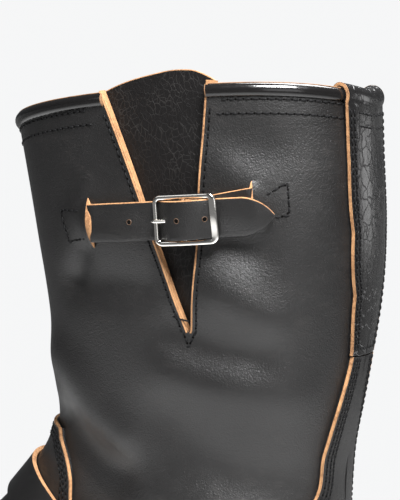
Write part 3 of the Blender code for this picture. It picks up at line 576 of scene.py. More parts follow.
def paint(name, base, roughness, metallic=0.0, coat=0.0, coat_roughness=0.1, specular=0.5):
    """A material with its shader and a texture position in metres."""
    made = bpy.data.materials.new(name)
    made.use_nodes = True
    tree = made.node_tree
    shader = tree.nodes["Principled BSDF"]
    for socket, value in (("Base Color", (*base, 1)), ("Roughness", roughness),
                          ("Metallic", metallic), ("Coat Weight", coat),
                          ("Coat Roughness", coat_roughness), ("Specular IOR Level", specular)):
        shader.inputs[socket].default_value = value
    place = tree.nodes.new("ShaderNodeTexCoord")
    return made, tree, shader, place.outputs["Object"]


def placed_node(tree, kind, place, values):
    """A node that is fed a texture position, with values for its other inputs."""
    node = tree.nodes.new(kind)
    for name, value in values.items():
        node.inputs[name].default_value = value
    tree.links.new(place, node.inputs["Vector"])
    return node


def stretched(tree, place, scale):
    """The texture position with a scale for each axis."""
    return placed_node(tree, "ShaderNodeMapping", place, {"Scale": scale}).outputs["Vector"]


def noise(tree, place, scale, detail=3, rough=0.5, distortion=0.0):
    """Cloudy noise from 0 to 1."""
    values = {"Scale": scale, "Detail": detail, "Roughness": rough, "Distortion": distortion}
    return placed_node(tree, "ShaderNodeTexNoise", place, values).outputs["Fac"]


def cells(tree, place, scale, feature="SMOOTH_F1"):
    """Distance from the middle of the nearest cell or, with another feature, from its edge."""
    node = placed_node(tree, "ShaderNodeTexVoronoi", place, {"Scale": scale})
    node.feature = feature
    return node.outputs["Distance"]


def ramp(tree, value, low, high, out_low=0.0, out_high=1.0):
    """Map a value from one range to another, held at its ends."""
    node = tree.nodes.new("ShaderNodeMapRange")
    for socket, number in zip(("From Min", "From Max", "To Min", "To Max"),
                              (low, high, out_low, out_high)):
        node.inputs[socket].default_value = number
    tree.links.new(value, node.inputs["Value"])
    return node.outputs["Result"]


def combine(tree, first, second, operation="ADD"):
    """Sum or other result of two values, each a number or another node's output."""
    node = tree.nodes.new("ShaderNodeMath")
    node.operation = operation
    for socket, value in zip(node.inputs, (first, second)):
        if isinstance(value, (int, float)):
            socket.default_value = value
        else:
            tree.links.new(value, socket)
    return node.outputs["Value"]


def product(tree, first, second):
    """The product of two values, each a number or another node's output."""
    return combine(tree, first, second, "MULTIPLY")


def blend(tree, share, first, second):
    """Mix two colours by a share."""
    node = tree.nodes.new("ShaderNodeMix")
    node.data_type = "RGBA"
    tree.links.new(share, node.inputs["Factor"])
    for socket, value in ((node.inputs["A"], first), (node.inputs["B"], second)):
        if isinstance(value, tuple):
            socket.default_value = (*value, 1)
        else:
            tree.links.new(value, socket)
    return node.outputs["Result"]


def bump(tree, shader, height, distance, strength=1.0, under=None):
    """Relief on a shader, over an earlier relief where one is given; distance is in metres."""
    node = tree.nodes.new("ShaderNodeBump")
    node.inputs["Distance"].default_value = distance
    node.inputs["Strength"].default_value = strength
    tree.links.new(height, node.inputs["Height"])
    if under is not None:
        tree.links.new(under, node.inputs["Normal"])
    tree.links.new(node.outputs["Normal"], shader.inputs["Normal"])
    return node.outputs["Normal"]


def grain_leather(name, dark, light, rough, pebble=0.00014, scale=1500.0, coat=0.0):
    """Black leather with a fine pebble grain, cloudy sheen and light scuffs."""
    made, tree, shader, place = paint(name, dark, rough, coat=coat, coat_roughness=0.35)
    cloud = noise(tree, place, 28, 4, 0.6)
    scuff = noise(tree, stretched(tree, place, (90, 90, 260)), 1, 5, 0.7, 1.5)
    worn = product(tree, ramp(tree, cloud, 0.45, 0.7), ramp(tree, scuff, 0.5, 0.75))
    tree.links.new(blend(tree, worn, dark, light), shader.inputs["Base Color"])
    pebbles = cells(tree, place, scale)
    fine = noise(tree, place, scale * 1.1, 3, 0.7)
    sheen = combine(tree, combine(tree, cloud, product(tree, scuff, 0.5)),
                    product(tree, fine, 0.9))
    tree.links.new(ramp(tree, sheen, 0.85, 1.6, rough - 0.12, rough + 0.12),
                   shader.inputs["Roughness"])
    hair = noise(tree, stretched(tree, place, (240, 240, 120)), 1, 6, 0.75, 3)
    height = combine(tree, product(tree, pebbles, 0.5), product(tree, fine, 1.5))
    under = bump(tree, shader, ramp(tree, hair, 0.35, 0.65), 0.000025)
    bump(tree, shader, height, pebble, 1.0, under)
    return made


def crackled_leather(name, dark, crack, rough, scale, depth, coat, specular=0.5):
    """Glazed black leather with a net of fine cracks."""
    made, tree, shader, place = paint(name, dark, rough, coat=coat, coat_roughness=0.26,
                                      specular=specular)
    warp = placed_node(tree, "ShaderNodeTexNoise", place, {"Scale": 120})
    mix = tree.nodes.new("ShaderNodeMix")
    mix.data_type = "VECTOR"
    mix.inputs["Factor"].default_value = 0.006
    tree.links.new(place, mix.inputs["A"])
    tree.links.new(warp.outputs["Color"], mix.inputs["B"])
    bent = stretched(tree, mix.outputs["Result"], (1, 1, 0.62))
    net = cells(tree, bent, scale, "DISTANCE_TO_EDGE")
    line = ramp(tree, net, 0.0, 0.055, 1.0, 0.0)
    patchy = ramp(tree, noise(tree, place, 110, 3), 0.42, 0.62)
    cracks = blend(tree, product(tree, line, patchy), dark, crack)
    tree.links.new(cracks, shader.inputs["Base Color"])
    soft = noise(tree, stretched(tree, place, (300, 300, 170)), 1, 3, 0.55)
    under = bump(tree, shader, soft, 0.0005, 0.6)
    bump(tree, shader, line, depth, 0.7, under)
    return made


def raw_leather(name, light, dark, scale=900.0):
    """The cut edge of tan leather, with its fibres."""
    made, tree, shader, place = paint(name, light, 0.75, specular=0.3)
    fibre = noise(tree, place, scale, 4, 0.7)
    stain = noise(tree, place, 160, 3, 0.6)
    share = product(tree, ramp(tree, fibre, 0.3, 0.62), ramp(tree, stain, 0.34, 0.62))
    tree.links.new(blend(tree, share, light, dark), shader.inputs["Base Color"])
    bump(tree, shader, fibre, 0.00025)
    return made


def plain_stuff(name, base, rough, scale, depth, metallic=0.0, shade=0.7, specular=0.5):
    """A dyed edge, rubber or metal surface with fine mottling."""
    made, tree, shader, place = paint(name, base, rough, metallic, specular=specular)
    speck = noise(tree, place, scale, 4, 0.6)
    darker = tuple(value * shade for value in base)
    mottled = blend(tree, ramp(tree, speck, 0.35, 0.7), base, darker)
    tree.links.new(mottled, shader.inputs["Base Color"])
    tree.links.new(ramp(tree, speck, 0.3, 0.7, rough - 0.05, rough + 0.07),
                   shader.inputs["Roughness"])
    bump(tree, shader, speck, depth)
    return made


BLACK = grain_leather("black_grain", (0.007, 0.0066, 0.0066), (0.02, 0.018, 0.017), 0.4)
STRAP_BLACK = grain_leather("strap_grain", (0.006, 0.0056, 0.0056), (0.014, 0.013, 0.012), 0.38,
                            0.00012, 1500.0, 0.1)
BEAD_BLACK = plain_stuff("bead_glaze", (0.007, 0.0065, 0.0065), 0.17, 260, 0.00006)
CRACKLED = crackled_leather("crackled_glaze", (0.006, 0.0056, 0.0056), (0.003, 0.003, 0.003),
                            0.26, 230.0, -0.00025, 0.3)
GUSSET_BLACK = crackled_leather("gusset_glaze", (0.006, 0.0055, 0.0055), (0.02, 0.019, 0.018),
                                0.42, 520.0, 0.00008, 0.0, 0.2)
TAN = raw_leather("raw_edge", (0.46, 0.245, 0.115), (0.2, 0.095, 0.042))
BEAD_LINE = raw_leather("raw_line", (0.22, 0.12, 0.06), (0.12, 0.06, 0.03))
LINING = raw_leather("lining", (0.36, 0.22, 0.12), (0.26, 0.15, 0.08), 500.0)
THREAD = plain_stuff("black_thread", (0.006, 0.006, 0.0065), 0.6, 2400, 0.0002, specular=0.15)
NICKEL = plain_stuff("polished_nickel", (0.83, 0.81, 0.77), 0.1, 60, 0.00002, 1.0, 0.93)
EDGE_DYE = plain_stuff("dyed_edge", (0.02, 0.015, 0.012), 0.4, 700, 0.00015)
RUBBER = plain_stuff("sole_rubber", (0.022, 0.021, 0.02), 0.7, 900, 0.0002)
HOLE_RIM = plain_stuff("hole_rim", (0.09, 0.045, 0.02), 0.6, 900, 0.0001)
# Near-black matt discs that stand for holes: painted shade in the needle holes, and in the strap
# holes the black leather below with painted shade
HOLE_SHADE = plain_stuff("hole", (0.002, 0.0018, 0.0018), 0.8, 900, 0.0001, specular=0.05)


def rim_frame(c):
    """Middle of the bead, with the outward and the upward direction there."""
    row = rim_row(c, BEAD_HEIGHT / 2)
    out = outward(c, row)
    up = unit(surface(c, row + ROW_STEP) - surface(c, row - ROW_STEP))
    return off_surface(c, row, -WALL / 2), out, up


def make_upper():
    """The shaft and foot wall, parted at the V notch, with its lining."""
    steps = np.concatenate([np.arange(0, 9, 0.5), np.arange(9, CLOSED_ROW, 0.15),
                            np.arange(CLOSED_ROW, EVEN_ROW, 0.075),
                            np.linspace(EVEN_ROW, EVEN_ROW + 1, 14)])
    u = steps[:, None]
    front = notch_edge(steps, "front")[0][:, None]
    back = notch_edge(steps, "back")[0][:, None]
    piece = Piece()
    ahead = front + (1 - front) * np.linspace(0, 1, 176)
    behind = -1 + (back + 1) * np.linspace(0, 1, 56)
    for c in (ahead, behind):
        r = row_at(u, c)
        piece.grid(off_surface(c, r, 0))
        piece.grid(off_surface(c[::3, ::3], r[::3, ::3], -WALL), 1)
    piece.make("upper_leather", [BLACK, LINING], "upper_leather", ["upper"])
    return piece.ground()


def make_notch_edges(ground, threads):
    """The raw edges of the V notch in two layers, and the seam beside each."""
    piece = Piece()
    steps = np.concatenate([np.arange(V_POINT_ROW + 0.01, EVEN_ROW, 0.05),
                            np.linspace(EVEN_ROW, 29.62, 18)])
    profile = [(0.95, 0.02), (0.85, 0.16), (0.35, 0.14), (0.06, -0.1), (-0.05, -0.5), (0, -1.6),
               (0.03, -WALL + 0.1), (0.09, -WALL - 0.05), (-0.02, -WALL - 0.2),
               (-0.05, -WALL - 1.1), (0.2, -WALL - 1.5), (4, -WALL - 1.55)]
    for edge, toward in (("front", (1.0, 0, 0)), ("back", (-1.0, 0, 0))):
        c, r = notch_edge(steps, edge)
        path, out, inward = edge_frame(c, r, np.array(toward))
        edging(piece, path, out, inward, profile, 0)
        seam = path + inward * 2.6
        below_bead = r < rim_row(c, 7.5)
        lay_stitches(threads, seam[below_bead], ground)
    apex = off_surface(notch_column(V_POINT_ROW, "front"), V_POINT_ROW, 0)
    tip = apex + np.array([(2.6, 0, 0.8), (1.5, 0, -2.6), (0.1, 0, -5.4), (-1.5, 0, -2.6),
                           (-2.6, 0, 0.8)])
    lay_stitches(threads, tip, ground, pitch=2.7, length=2.0)
    c, r = notch_edge(np.array([26.05, 26.08]), "front")
    bar = off_surface(c, r, 0)[0] + np.array([[3.4, 0, 0.6], [-1.6, 0, -0.4]])
    lay_stitches(threads, bar, ground, pitch=5, length=5.4, radius=0.42)
    piece.make("notch_raw_edges", [TAN], "upper_leather")


def make_bead(threads, ground):
    """The rolled bead on the rim with the raw line on top and the seams below it."""
    piece = Piece()
    back_end = float(notch_column(np.array([29.9]), "back")[0]) - 0.002
    columns = np.concatenate([np.linspace(BEAD_FRONT_C, 1, 210),
                              np.linspace(-1, back_end, 62)[1:]])
    turns = around_circle(20)
    centre, out, up = rim_frame(columns)
    wide = BEAD_WIDTH / 2 * np.cos(turns)[:, None]
    tall = BEAD_HEIGHT / 2 * np.sin(turns)[:, None]
    piece.grid(centre[:, None] + out[:, None] * wide + up[:, None] * tall, closed_columns=True)
    line = centre + up * (BEAD_HEIGHT / 2 - 0.1) + out * 0.6
    ring = [line + out * 0.34 * math.cos(turn) + up * 0.26 * math.sin(turn) for turn in turns[::2]]
    piece.grid(np.stack(ring, 1), 1, closed_columns=True)
    for end in (0, -1):
        run = unit(centre[end] - centre[1 if end == 0 else -2])
        caps = [(1.0, 0.0), (1.0, 0.25), (0.9, 0.5), (0.55, 0.5), (0.45, 0.2), (0.05, 0.15)]
        rings = [centre[end] + run * depth + (out[end] * wide + up[end] * tall) * size
                 for size, depth in caps]
        piece.grid(np.stack(rings[:4]), 1, closed_columns=True)
        piece.grid(np.stack(rings[3:]), 2, closed_columns=True)
    piece.make("collar_bead", [BEAD_BLACK, BEAD_LINE, EDGE_DYE], "glazed_leather",
               ["collar_binding"])
    for below, inset in ((6.6, 0.022), (12.2, 0.012)):
        for first, last in ((BEAD_FRONT_C + inset + 0.01, 0.985), (-0.985, back_end - inset)):
            c = np.linspace(first, last, 160)
            lay_stitches(threads, off_surface(c, rim_row(c, below), 0), ground)


def make_gusset():
    """The glazed leaf behind the V notch with its raw arched edge."""
    piece = Piece()
    columns = np.linspace(*GUSSET_C, 44)

    def above_arch(r):
        place = surface(columns, r)
        return place[..., 2] - read_table(GUSSET_TOP, place[..., 0])

    last = bisect(above_arch, np.full(columns.shape, 28.0), np.full(columns.shape, 31.0))
    rows = GUSSET_FOOT_ROW + np.linspace(0, 1, 70)[:, None] * (last - GUSSET_FOOT_ROW)
    grid = np.broadcast_to(columns, rows.shape)
    depth = -(WALL + GUSSET_GAP)
    face = off_surface(grid, rows, depth)
    rear = off_surface(grid, rows, depth - GUSSET_THICK)
    piece.grid(face)
    piece.grid(rear, 1)
    for column in (0, -1):
        piece.grid(np.stack([face[:, column], rear[:, column]]), 1)
    edge = [face[-1], face[-1] + (0, 0, 0.35), rear[-1] + (0, 0, 0.35), rear[-1]]
    piece.grid(np.stack(edge), 1)
    piece.make("gusset_leaf", [GUSSET_BLACK, TAN], "glazed_leather", ["gusset"])


def side_sheet(edge, side, count):
    """Columns from the back line to an edge for each row; edge is negative."""
    return side * (-1 + (edge[:, None] + 1) * np.linspace(0, 1, count))


OVERLAY_LIFT = SHELL_GAP + OVERLAY
OVERLAY_EDGE = [(0.45, OVERLAY_LIFT + 0.02), (0.4, OVERLAY_LIFT + 0.12),
                (0.2, OVERLAY_LIFT + 0.08), (0.02, OVERLAY_LIFT - 0.3),
                (-0.05, OVERLAY_LIFT - 0.9), (0.0, 0.95)]
# The edge's lowest part is black: painted shade where the edge meets the leather below
OVERLAY_SHADED_FOOT = [(0.0, 0.95), (0.06, 0.5), (0.1, -0.3)]


def overlay_edge(piece, c, r, toward):
    """The tan edge of an overlay with a black foot, painted shade where the edge meets the leather
    below; gives the edge's path and directions.
    """
    path, out, inward = edge_frame(c, r, np.array(toward))
    edging(piece, path, out, inward, OVERLAY_EDGE, 1)
    edging(piece, path, out, inward, OVERLAY_SHADED_FOOT, 0)
    return path, out, inward


def overlay_seams(threads, ground, edge, insets, first=0):
    """Rows of stitches beside an overlay's edge, at distances inward."""
    path, out, inward = edge
    for inset in insets:
        line = path + inward * inset + out * OVERLAY_LIFT
        lay_stitches(threads, line[first:], ground, **OVERLAY_STITCH)


def make_counter(threads):
    """The heel counter and lower back strip."""
    feet_rows = np.arange(10, 18, 0.05)
    feet = smooth_curve(feet_rows, ROW_NUMBERS, COLUMNS[0])
    first = float(np.interp(-85.3, -feet, feet_rows))
    rows = np.concatenate([np.linspace(first, 17.95, 40), np.arange(18, BACK_SEAM_ROW, 0.1),
                           [BACK_SEAM_ROW]])
    edge = counter_column(rows)
    edge[0] = -0.9995
    piece = Piece()
    edges = []
    for side in (1, -1):
        piece.grid(off_surface(side_sheet(edge, side, 46), rows[:, None], OVERLAY_LIFT))
        edges.append(overlay_edge(piece, side * edge, rows, (-1.0, 0, -0.4)))
    piece.make("counter_leather", [BLACK, TAN], "upper_leather", ["counter"])
    ground = piece.ground()
    for side_edge in edges:
        overlay_seams(threads, ground, side_edge, (2.3, 4.3, 6.3), 3)


def make_backstay(threads):
    """The crackled back strip, folded over the bead and down inside."""
    rows = np.concatenate([np.linspace(BACK_SEAM_ROW + 0.02, EVEN_ROW, 50),
                           np.linspace(EVEN_ROW + 0.02, 29.1, 10)])
    narrowed = np.interp(rows, [BACK_SEAM_ROW, 27.2, 29.2], [0.005, 0.018, 0.026])
    edge = counter_column(rows) + narrowed
    turns = np.radians(np.linspace(-35, 215, 26))
    piece = Piece()
    for side in (1, -1):
        sheets = []
        for lift in (OVERLAY_LIFT, SHELL_GAP):
            c = side_sheet(edge, side, 20)
            top = c[-1]
            outside = off_surface(c, rows[:, None], lift)
            centre, out, up = rim_frame(top)
            fold = [centre + out * (BEAD_WIDTH / 2 + lift) * math.cos(turn)
                    + up * (BEAD_HEIGHT / 2 + lift) * math.sin(turn) for turn in turns]
            inside = [off_surface(top, rim_row(top, below), -WALL - lift) for below in (8, 11, 14)]
            sheets.append(np.concatenate([outside, fold, inside]))
        piece.grid(sheets[0])
        outer, inner = sheets[0][:, -1], sheets[1][:, -1]
        back = unit(sheets[0][:, -2] - outer)
        out = unit(outer - inner)
        strip = [outer + back * 0.3 + out * 0.1, outer + back * 0.12 + out * 0.1,
                 outer - out * 0.3, inner + out * 0.5]
        piece.grid(np.stack(strip, 1), 1)
        # The lowest part of the edge is black: painted shade where the edge meets the leather
        # below
        piece.grid(np.stack([inner + out * 0.5, inner - out * 0.3], 1), 0)
    piece.make("back_strip", [CRACKLED, TAN], "glazed_leather", ["backstay"])
    ground = piece.ground()
    high = float(rim_row(edge[-1], 8.5))
    seam_rows = np.linspace(BACK_SEAM_ROW + 0.1, high, 90)
    seam = np.interp(seam_rows, rows, edge)
    for side in (1, -1):
        beside = edge_frame(side * seam, seam_rows, np.array((-1.0, 0, 0)))
        overlay_seams(threads, ground, beside, (1.9, 3.9))
    for side in (1, -1):
        for row in (BACK_SEAM_ROW + 0.14, 29.5, 29.68):
            c = side_sheet(counter_column(np.array([row])) - 0.012, side, 24)[0]
            across = off_surface(c[2:], row, OVERLAY_LIFT)
            lay_stitches(threads, across, ground, **OVERLAY_STITCH)


def make_vamp(threads):
    """The forefoot's leather up to its raw edge across the throat."""
    columns = np.linspace(-1, 1, 150)
    last = vamp_row(columns)
    shares = np.linspace(0, 1, 130)[:, None]
    piece = Piece()
    piece.grid(off_surface(columns, last * shares, OVERLAY_LIFT))
    edge = overlay_edge(piece, columns, last, (1.0, 0, -0.5))
    piece.make("vamp_leather", [BLACK, TAN], "upper_leather", ["vamp"])
    overlay_seams(threads, piece.ground(), edge, (2.4, 4.4, 6.4))


class Belt:
    """A straight band in the side view, laid over the upper's form."""

    def __init__(self, station, height, slope, columns):
        self.across_station = math.sin(slope)
        self.across_height = math.cos(slope)
        self.level = station * self.across_station + height * self.across_height
        self.columns = np.linspace(*columns, 240)
        middle = surface(self.columns, self.row(self.columns, 0))
        length = lengths_along(middle)
        passed = middle[:, 0] * -self.across_height + middle[:, 2] * self.across_station
        start = -station * self.across_height + height * self.across_station
        lateral = self.columns < -0.1
        origin = np.interp(-start, -passed[lateral], length[lateral])
        self.along = origin - length

    def row(self, c, v):
        """The row that the band's line at v crosses at c."""
        c, v = np.broadcast_arrays(np.asarray(c, float), np.asarray(v, float))

        def past_line(r):
            place = surface(c, r)
            return (place[..., 0] * self.across_station + place[..., 2] * self.across_height
                    - self.level - v)

        return bisect(past_line, np.full(c.shape, 6.0), np.full(c.shape, float(RIM_ROW)))

    def point(self, a, v, d):
        """A place along the band, across it and off the surface."""
        c = np.interp(a, self.along[::-1], self.columns[::-1])
        return off_surface(c, self.row(c, v), d)


TOP_BELT = Belt(57.2, 230.1, math.radians(3.7), (-0.80, -0.30))
INSTEP_BELT = Belt(118.0, 89.8, math.radians(-35.2), (-0.93, 0.93))
OVER_VAMP = OVERLAY_LIFT + 0.5


def arc(centre, radius, first, last, count):
    """Points of an arc in the (a, d) plane, angles in degrees."""
    turns = np.radians(np.linspace(first, last, count))
    return [(centre[0] + radius * math.cos(turn), centre[1] + radius * math.sin(turn))
            for turn in turns]


def ribbon(belt, path, thickness, half_width, count, shear=0.0):
    """A strap along a path of (a, d), black outside, with raw edges and back."""
    path = smooth_path(path, count)
    side = flat_sides(np.gradient(path, axis=0))
    half = half_width(path[:, 0])
    lip = np.minimum(0.4, half * 0.5)

    def sheet(columns):
        """Points in columns of (share of the half width, share of the lip, height)."""
        points = []
        for share, inset, up in columns:
            place = path + side * thickness * (up - 0.5)
            v = share * (half - lip * inset) + shear * place[:, 0]
            points.append(belt.point(place[:, 0], v, place[:, 1]))
        return np.stack(points, 1)

    crown = [(share, 1, 1.0 + 0.04 * (1 - share ** 2)) for share in np.linspace(-1, 1, 13)]
    edge = [(1, 1, 1.0), (1, 0.45, 0.97), (1, 0.05, 0.78), (1, 0, 0.5), (1, 0.1, 0.15), (1, 1, 0)]
    piece = Piece()
    piece.grid(sheet(crown))
    piece.grid(sheet(edge), 1)
    lower = [(-1, inset, up) for _, inset, up in edge]
    piece.grid(sheet(lower[:4]))
    piece.grid(sheet(lower[3:]), 1)
    piece.grid(sheet([(share, 1, 0) for share in (-1, -0.5, 0, 0.5, 1)]), 1)
    for end in (0, -1):
        piece.grid(sheet(crown)[[end]].repeat(2, 0), 1)
        top = sheet([(share, 1, 1) for share in (-1, 0, 1)])[end]
        foot = sheet([(share, 1, 0) for share in (-1, 0, 1)])[end]
        piece.grid(np.stack([top, foot]), 1)
    return piece


def pointed(half, tip):
    """Half width of a strap that narrows to a point at its tip."""
    def width(a):
        share = np.clip((a - (tip - TIP_LENGTH)) / TIP_LENGTH, 0, 1)
        return half * (1 - share ** 1.9) ** 0.85 + 0.35 * share
    return width


def crest(base):
    """The strap's path under the frame, over the bar, under the frame and on to its tip."""
    low = base + STRAP_THICK / 2
    rise = ((-16, 0), (-12.3, 0.05), (-10.6, 0.6), (-8.6, 2.1), (-6, 4.3), (-3, 6), (0, 6.45),
            (3, 6), (6, 5), (8.8, 3.4), (10.6, 2.35), (12.3, BELOW_FRAME),
            (16, BELOW_FRAME), (20, BELOW_FRAME), (24, BELOW_FRAME), (28, BELOW_FRAME))
    return [(a, low + up) for a, up in rise]


def chape_loop(base):
    """The short strap's path: along the leather, round the bar and back over it."""
    run = base + CHAPE_THICK / 2
    loop = BAR + 0.25 + CHAPE_THICK / 2
    return [(12, run), (7, run + 0.05), (4.2, run + 0.35), (2, run + 0.9)] + arc(
        (0, base + BAR_LIFT), loop, -90, -300, 9)


def buckle_piece(belt, base, half_width):
    """The frame with its round hinge side and flat far side, and the bar across its middle."""
    half_length = BUCKLE_HALF_LENGTH
    corner = BUCKLE_CORNER
    path = []
    for sign_a, sign_v, first in ((1, 1, 0), (-1, 1, 90), (-1, -1, 180), (1, -1, 270)):
        middle = (sign_a * (half_length - corner), sign_v * (half_width - corner))
        path += arc(middle, corner, first, first + 90, 9)
        a, v = path[-1]
        along = sign_a * sign_v > 0
        path += [(a * share, v) if along else (a, v * share)
                 for share in np.linspace(0.85, -0.85, 9)]
    path = np.array(path)
    inward = flat_sides(np.roll(path, -1, 0) - np.roll(path, 1, 0))
    share = (path[:, 0] + half_length) / (2 * half_length)
    lift = base + FRONT_WIRE_LIFT + share * (BACK_WIRE_LIFT - FRONT_WIRE_LIFT)
    far = np.clip((path[:, 0] - half_length + 2.0) / 2.0, 0, 1)
    near = np.clip((-path[:, 0] - half_length + 2.0) / 2.0, 0, 1)
    wide = 1.0 + 0.5 * far - 0.1 * near
    tall = 0.78 + 0.14 * near - 0.05 * far
    shift = 0.45 * far
    rings = []
    for turn in around_circle(16):
        x, y = math.cos(turn), math.sin(turn)
        x = math.copysign(abs(x) ** 0.62, x)
        y = math.copysign(abs(y) ** 0.7, y)
        spot = path + inward * (shift + wide * x)[:, None]
        rings.append(belt.point(spot[:, 0], spot[:, 1], lift + tall * y))
    piece = Piece()
    piece.grid(np.stack(rings, 1), 0, closed_rows=True, closed_columns=True)
    across = np.linspace(-half_width + 0.6, half_width - 0.6, 12)
    bars = [belt.point(BAR * math.cos(turn), across, base + BAR_LIFT + BAR * math.sin(turn))
            for turn in around_circle(12)]
    piece.grid(np.stack(bars, 1), 0, closed_columns=True)
    return piece


def prong_piece(belt, base):
    """The tongue of round wire, flattened where it lies over the frame."""
    eye = BAR + 0.25 + PRONG
    rest = base + FRONT_WIRE_LIFT + WIRE + 0.25 + PRONG
    path = arc((0, base + BAR_LIFT), eye, -160, 90, 9)
    path += [(-4, 0.6 * (base + BAR_LIFT + eye) + 0.4 * rest), (-8, rest), (-11.8, rest),
             (-13.7, rest - 0.3)]
    path = smooth_path(path, 60)
    side = flat_sides(np.gradient(path, axis=0))
    size = np.interp(np.arange(60), [0, 50, 56, 59], [1, 1, 0.95, 0.35])
    rings = []
    for turn in around_circle(12):
        place = path + side * (PRONG * 0.92 * size * math.sin(turn))[:, None]
        rings.append(belt.point(place[:, 0], PRONG * 1.1 * size * math.cos(turn), place[:, 1]))
    piece = Piece()
    rings = np.stack(rings, 1)
    piece.grid(rings, 0, closed_columns=True)
    piece.cap(rings[-1])
    piece.cap(rings[0])
    return piece


def punch_holes(piece, belt, ground, places):
    """Strap holes, each a dark disc in a raw ring, laid on the strap; the disc paints the black
    leather below and the shade inside the hole.
    """
    turns = around_circle(16)
    for a in places:
        origin = Vector(belt.point(a, 0, 20.0))
        aim = (Vector(belt.point(a, 0, 0.0)) - origin).normalized()
        centre, normal, _, _ = ground.ray_cast(origin, aim)
        out = np.array(normal) * (1 if normal.dot(aim) < 0 else -1)
        side = unit(np.cross(out, (0, 0, 1.0)))
        up = np.cross(side, out)
        rings = []
        for radius, lift in ((0.05, 0.03), (0.85, 0.03), (0.9, 0.08), (1.0, 0.12), (1.15, 0.02)):
            ring = (np.array(centre) + radius * (np.cos(turns)[:, None] * side
                                                 + np.sin(turns)[:, None] * up) + out * lift)
            rings.append(ring)
        # The dark disc: painted shade inside the hole over the black leather below
        piece.grid(np.stack(rings[:3]), 0, closed_columns=True)
        piece.grid(np.stack(rings[2:]), 1, closed_columns=True)


def slit_lips(piece, belt, place, half, shear, toward, reach, lift):
    """The leather that rises over a strap at its slit, on the side toward, and its raw edge."""
    v = np.linspace(-half - 2.5, half + 2.5, 40)
    swell = np.clip(np.sin(np.linspace(0, np.pi, 40)), 0, 1) ** 0.7
    skin = ((9, 0.0), (7, 0.07), (5, 0.24), (3.4, 0.5), (2.0, 0.8), (0.8, 0.98), (0.2, 1.03))
    rim = ((-0.15, 1.1), (-0.6, 1.15), (-1.0, 1.08), (-1.12, 0.8), (-0.9, 0.3))
    lines = []
    for profile, widen in ((skin, 0.35 + 0.65 * swell), (rim, reach * swell)):
        for x, d in profile:
            a = place + toward * x * widen
            lines.append(belt.point(a, v + shear * place, 0.05 + lift * d * swell))
    piece.grid(np.stack(lines[:len(skin)], 1), 0)
    piece.grid(np.stack(lines[len(skin) - 1:], 1), 1)


def corner_line(corners):
    """Points along the straight lines between corners."""
    return np.concatenate([np.linspace(p, q, 20) for p, q in zip(corners[:-1], corners[1:])])


def make_strap(belt, strap, chape, name):
    """A strap and its short end, which are given as ribbons, and the strap's holes."""
    strap.make(name + "_strap_leather", [STRAP_BLACK, TAN], "strap_leather", [name + "_strap"])
    chape.make(name + "_strap_end", [STRAP_BLACK, TAN], "strap_leather", [name + "_chape"])
    holes = Piece()
    punch_holes(holes, belt, strap.ground(), HOLE_PLACES)
    holes.make(name + "_strap_holes", [HOLE_SHADE, HOLE_RIM], "strap_leather")


def make_buckle(belt, base, half_width, name):
    """A buckle's frame and prong."""
    frame_piece = buckle_piece(belt, base, half_width)
    frame_piece.make(name + "_buckle_frame", [NICKEL], "buckle_metal", [name + "_buckle"])
    tongue = prong_piece(belt, base)
    tongue.make(name + "_buckle_prong", [NICKEL], "buckle_metal", [name + "_prong"])


def make_top_strap(threads, ground):
    """The strap across the V notch, its short end, buckle, prong and slits."""
    base = SHELL_GAP
    half = TOP_STRAP_WIDTH / 2
    low = base + STRAP_THICK / 2
    bend = 1.5
    path = [(TOP_SLIT, -WALL + 0.2), (TOP_SLIT, low - bend)]
    path += arc((TOP_SLIT + bend, low - bend), bend, 158, 90, 4)
    path += [(a, low) for a in (-38, -34, -30, -26, -21)] + crest(base)
    path += [(31, low + 1.3), (34.8, low + 1)]
    strap = ribbon(TOP_BELT, path, STRAP_THICK, pointed(half, 34.8), 170)
    run = base + CHAPE_THICK / 2
    bend = 1.2
    path = [(CHAPE_SLIT, -WALL + 0.2), (CHAPE_SLIT, run - bend)]
    path += arc((CHAPE_SLIT - bend, run - bend), bend, 22, 90, 4)
    path += [(a, run) for a in (22, 17)] + chape_loop(base)
    chape = ribbon(TOP_BELT, path[::-1], CHAPE_THICK, lambda a: half + 0 * a, 90, CHAPE_SHEAR)
    make_strap(TOP_BELT, strap, chape, "top")
    lips = Piece()
    slit_lips(lips, TOP_BELT, TOP_SLIT - 0.6, half, 0, -1, 2.6, 2.75)
    slit_lips(lips, TOP_BELT, CHAPE_SLIT + 0.2, half, CHAPE_SHEAR, 1, 1.7, 1.5)
    lips.make("strap_slits", [BLACK, TAN], "upper_leather")
    make_buckle(TOP_BELT, base, half + TOP_SIDE_ROOM, "top")
    for corners, tilt in (([(-49, 5.3), (-61.5, 5.8), (-58.5, -7.4), (-47.5, -6.2)], 0.0),
                          ([(31.5, 5.6), (40.6, 9.8), (40.8, -3.2), (34.6, -3.4)], 0.06)):
        a, v = corner_line(corners).T
        lay_stitches(threads, TOP_BELT.point(a, v + tilt * a, 0), ground)


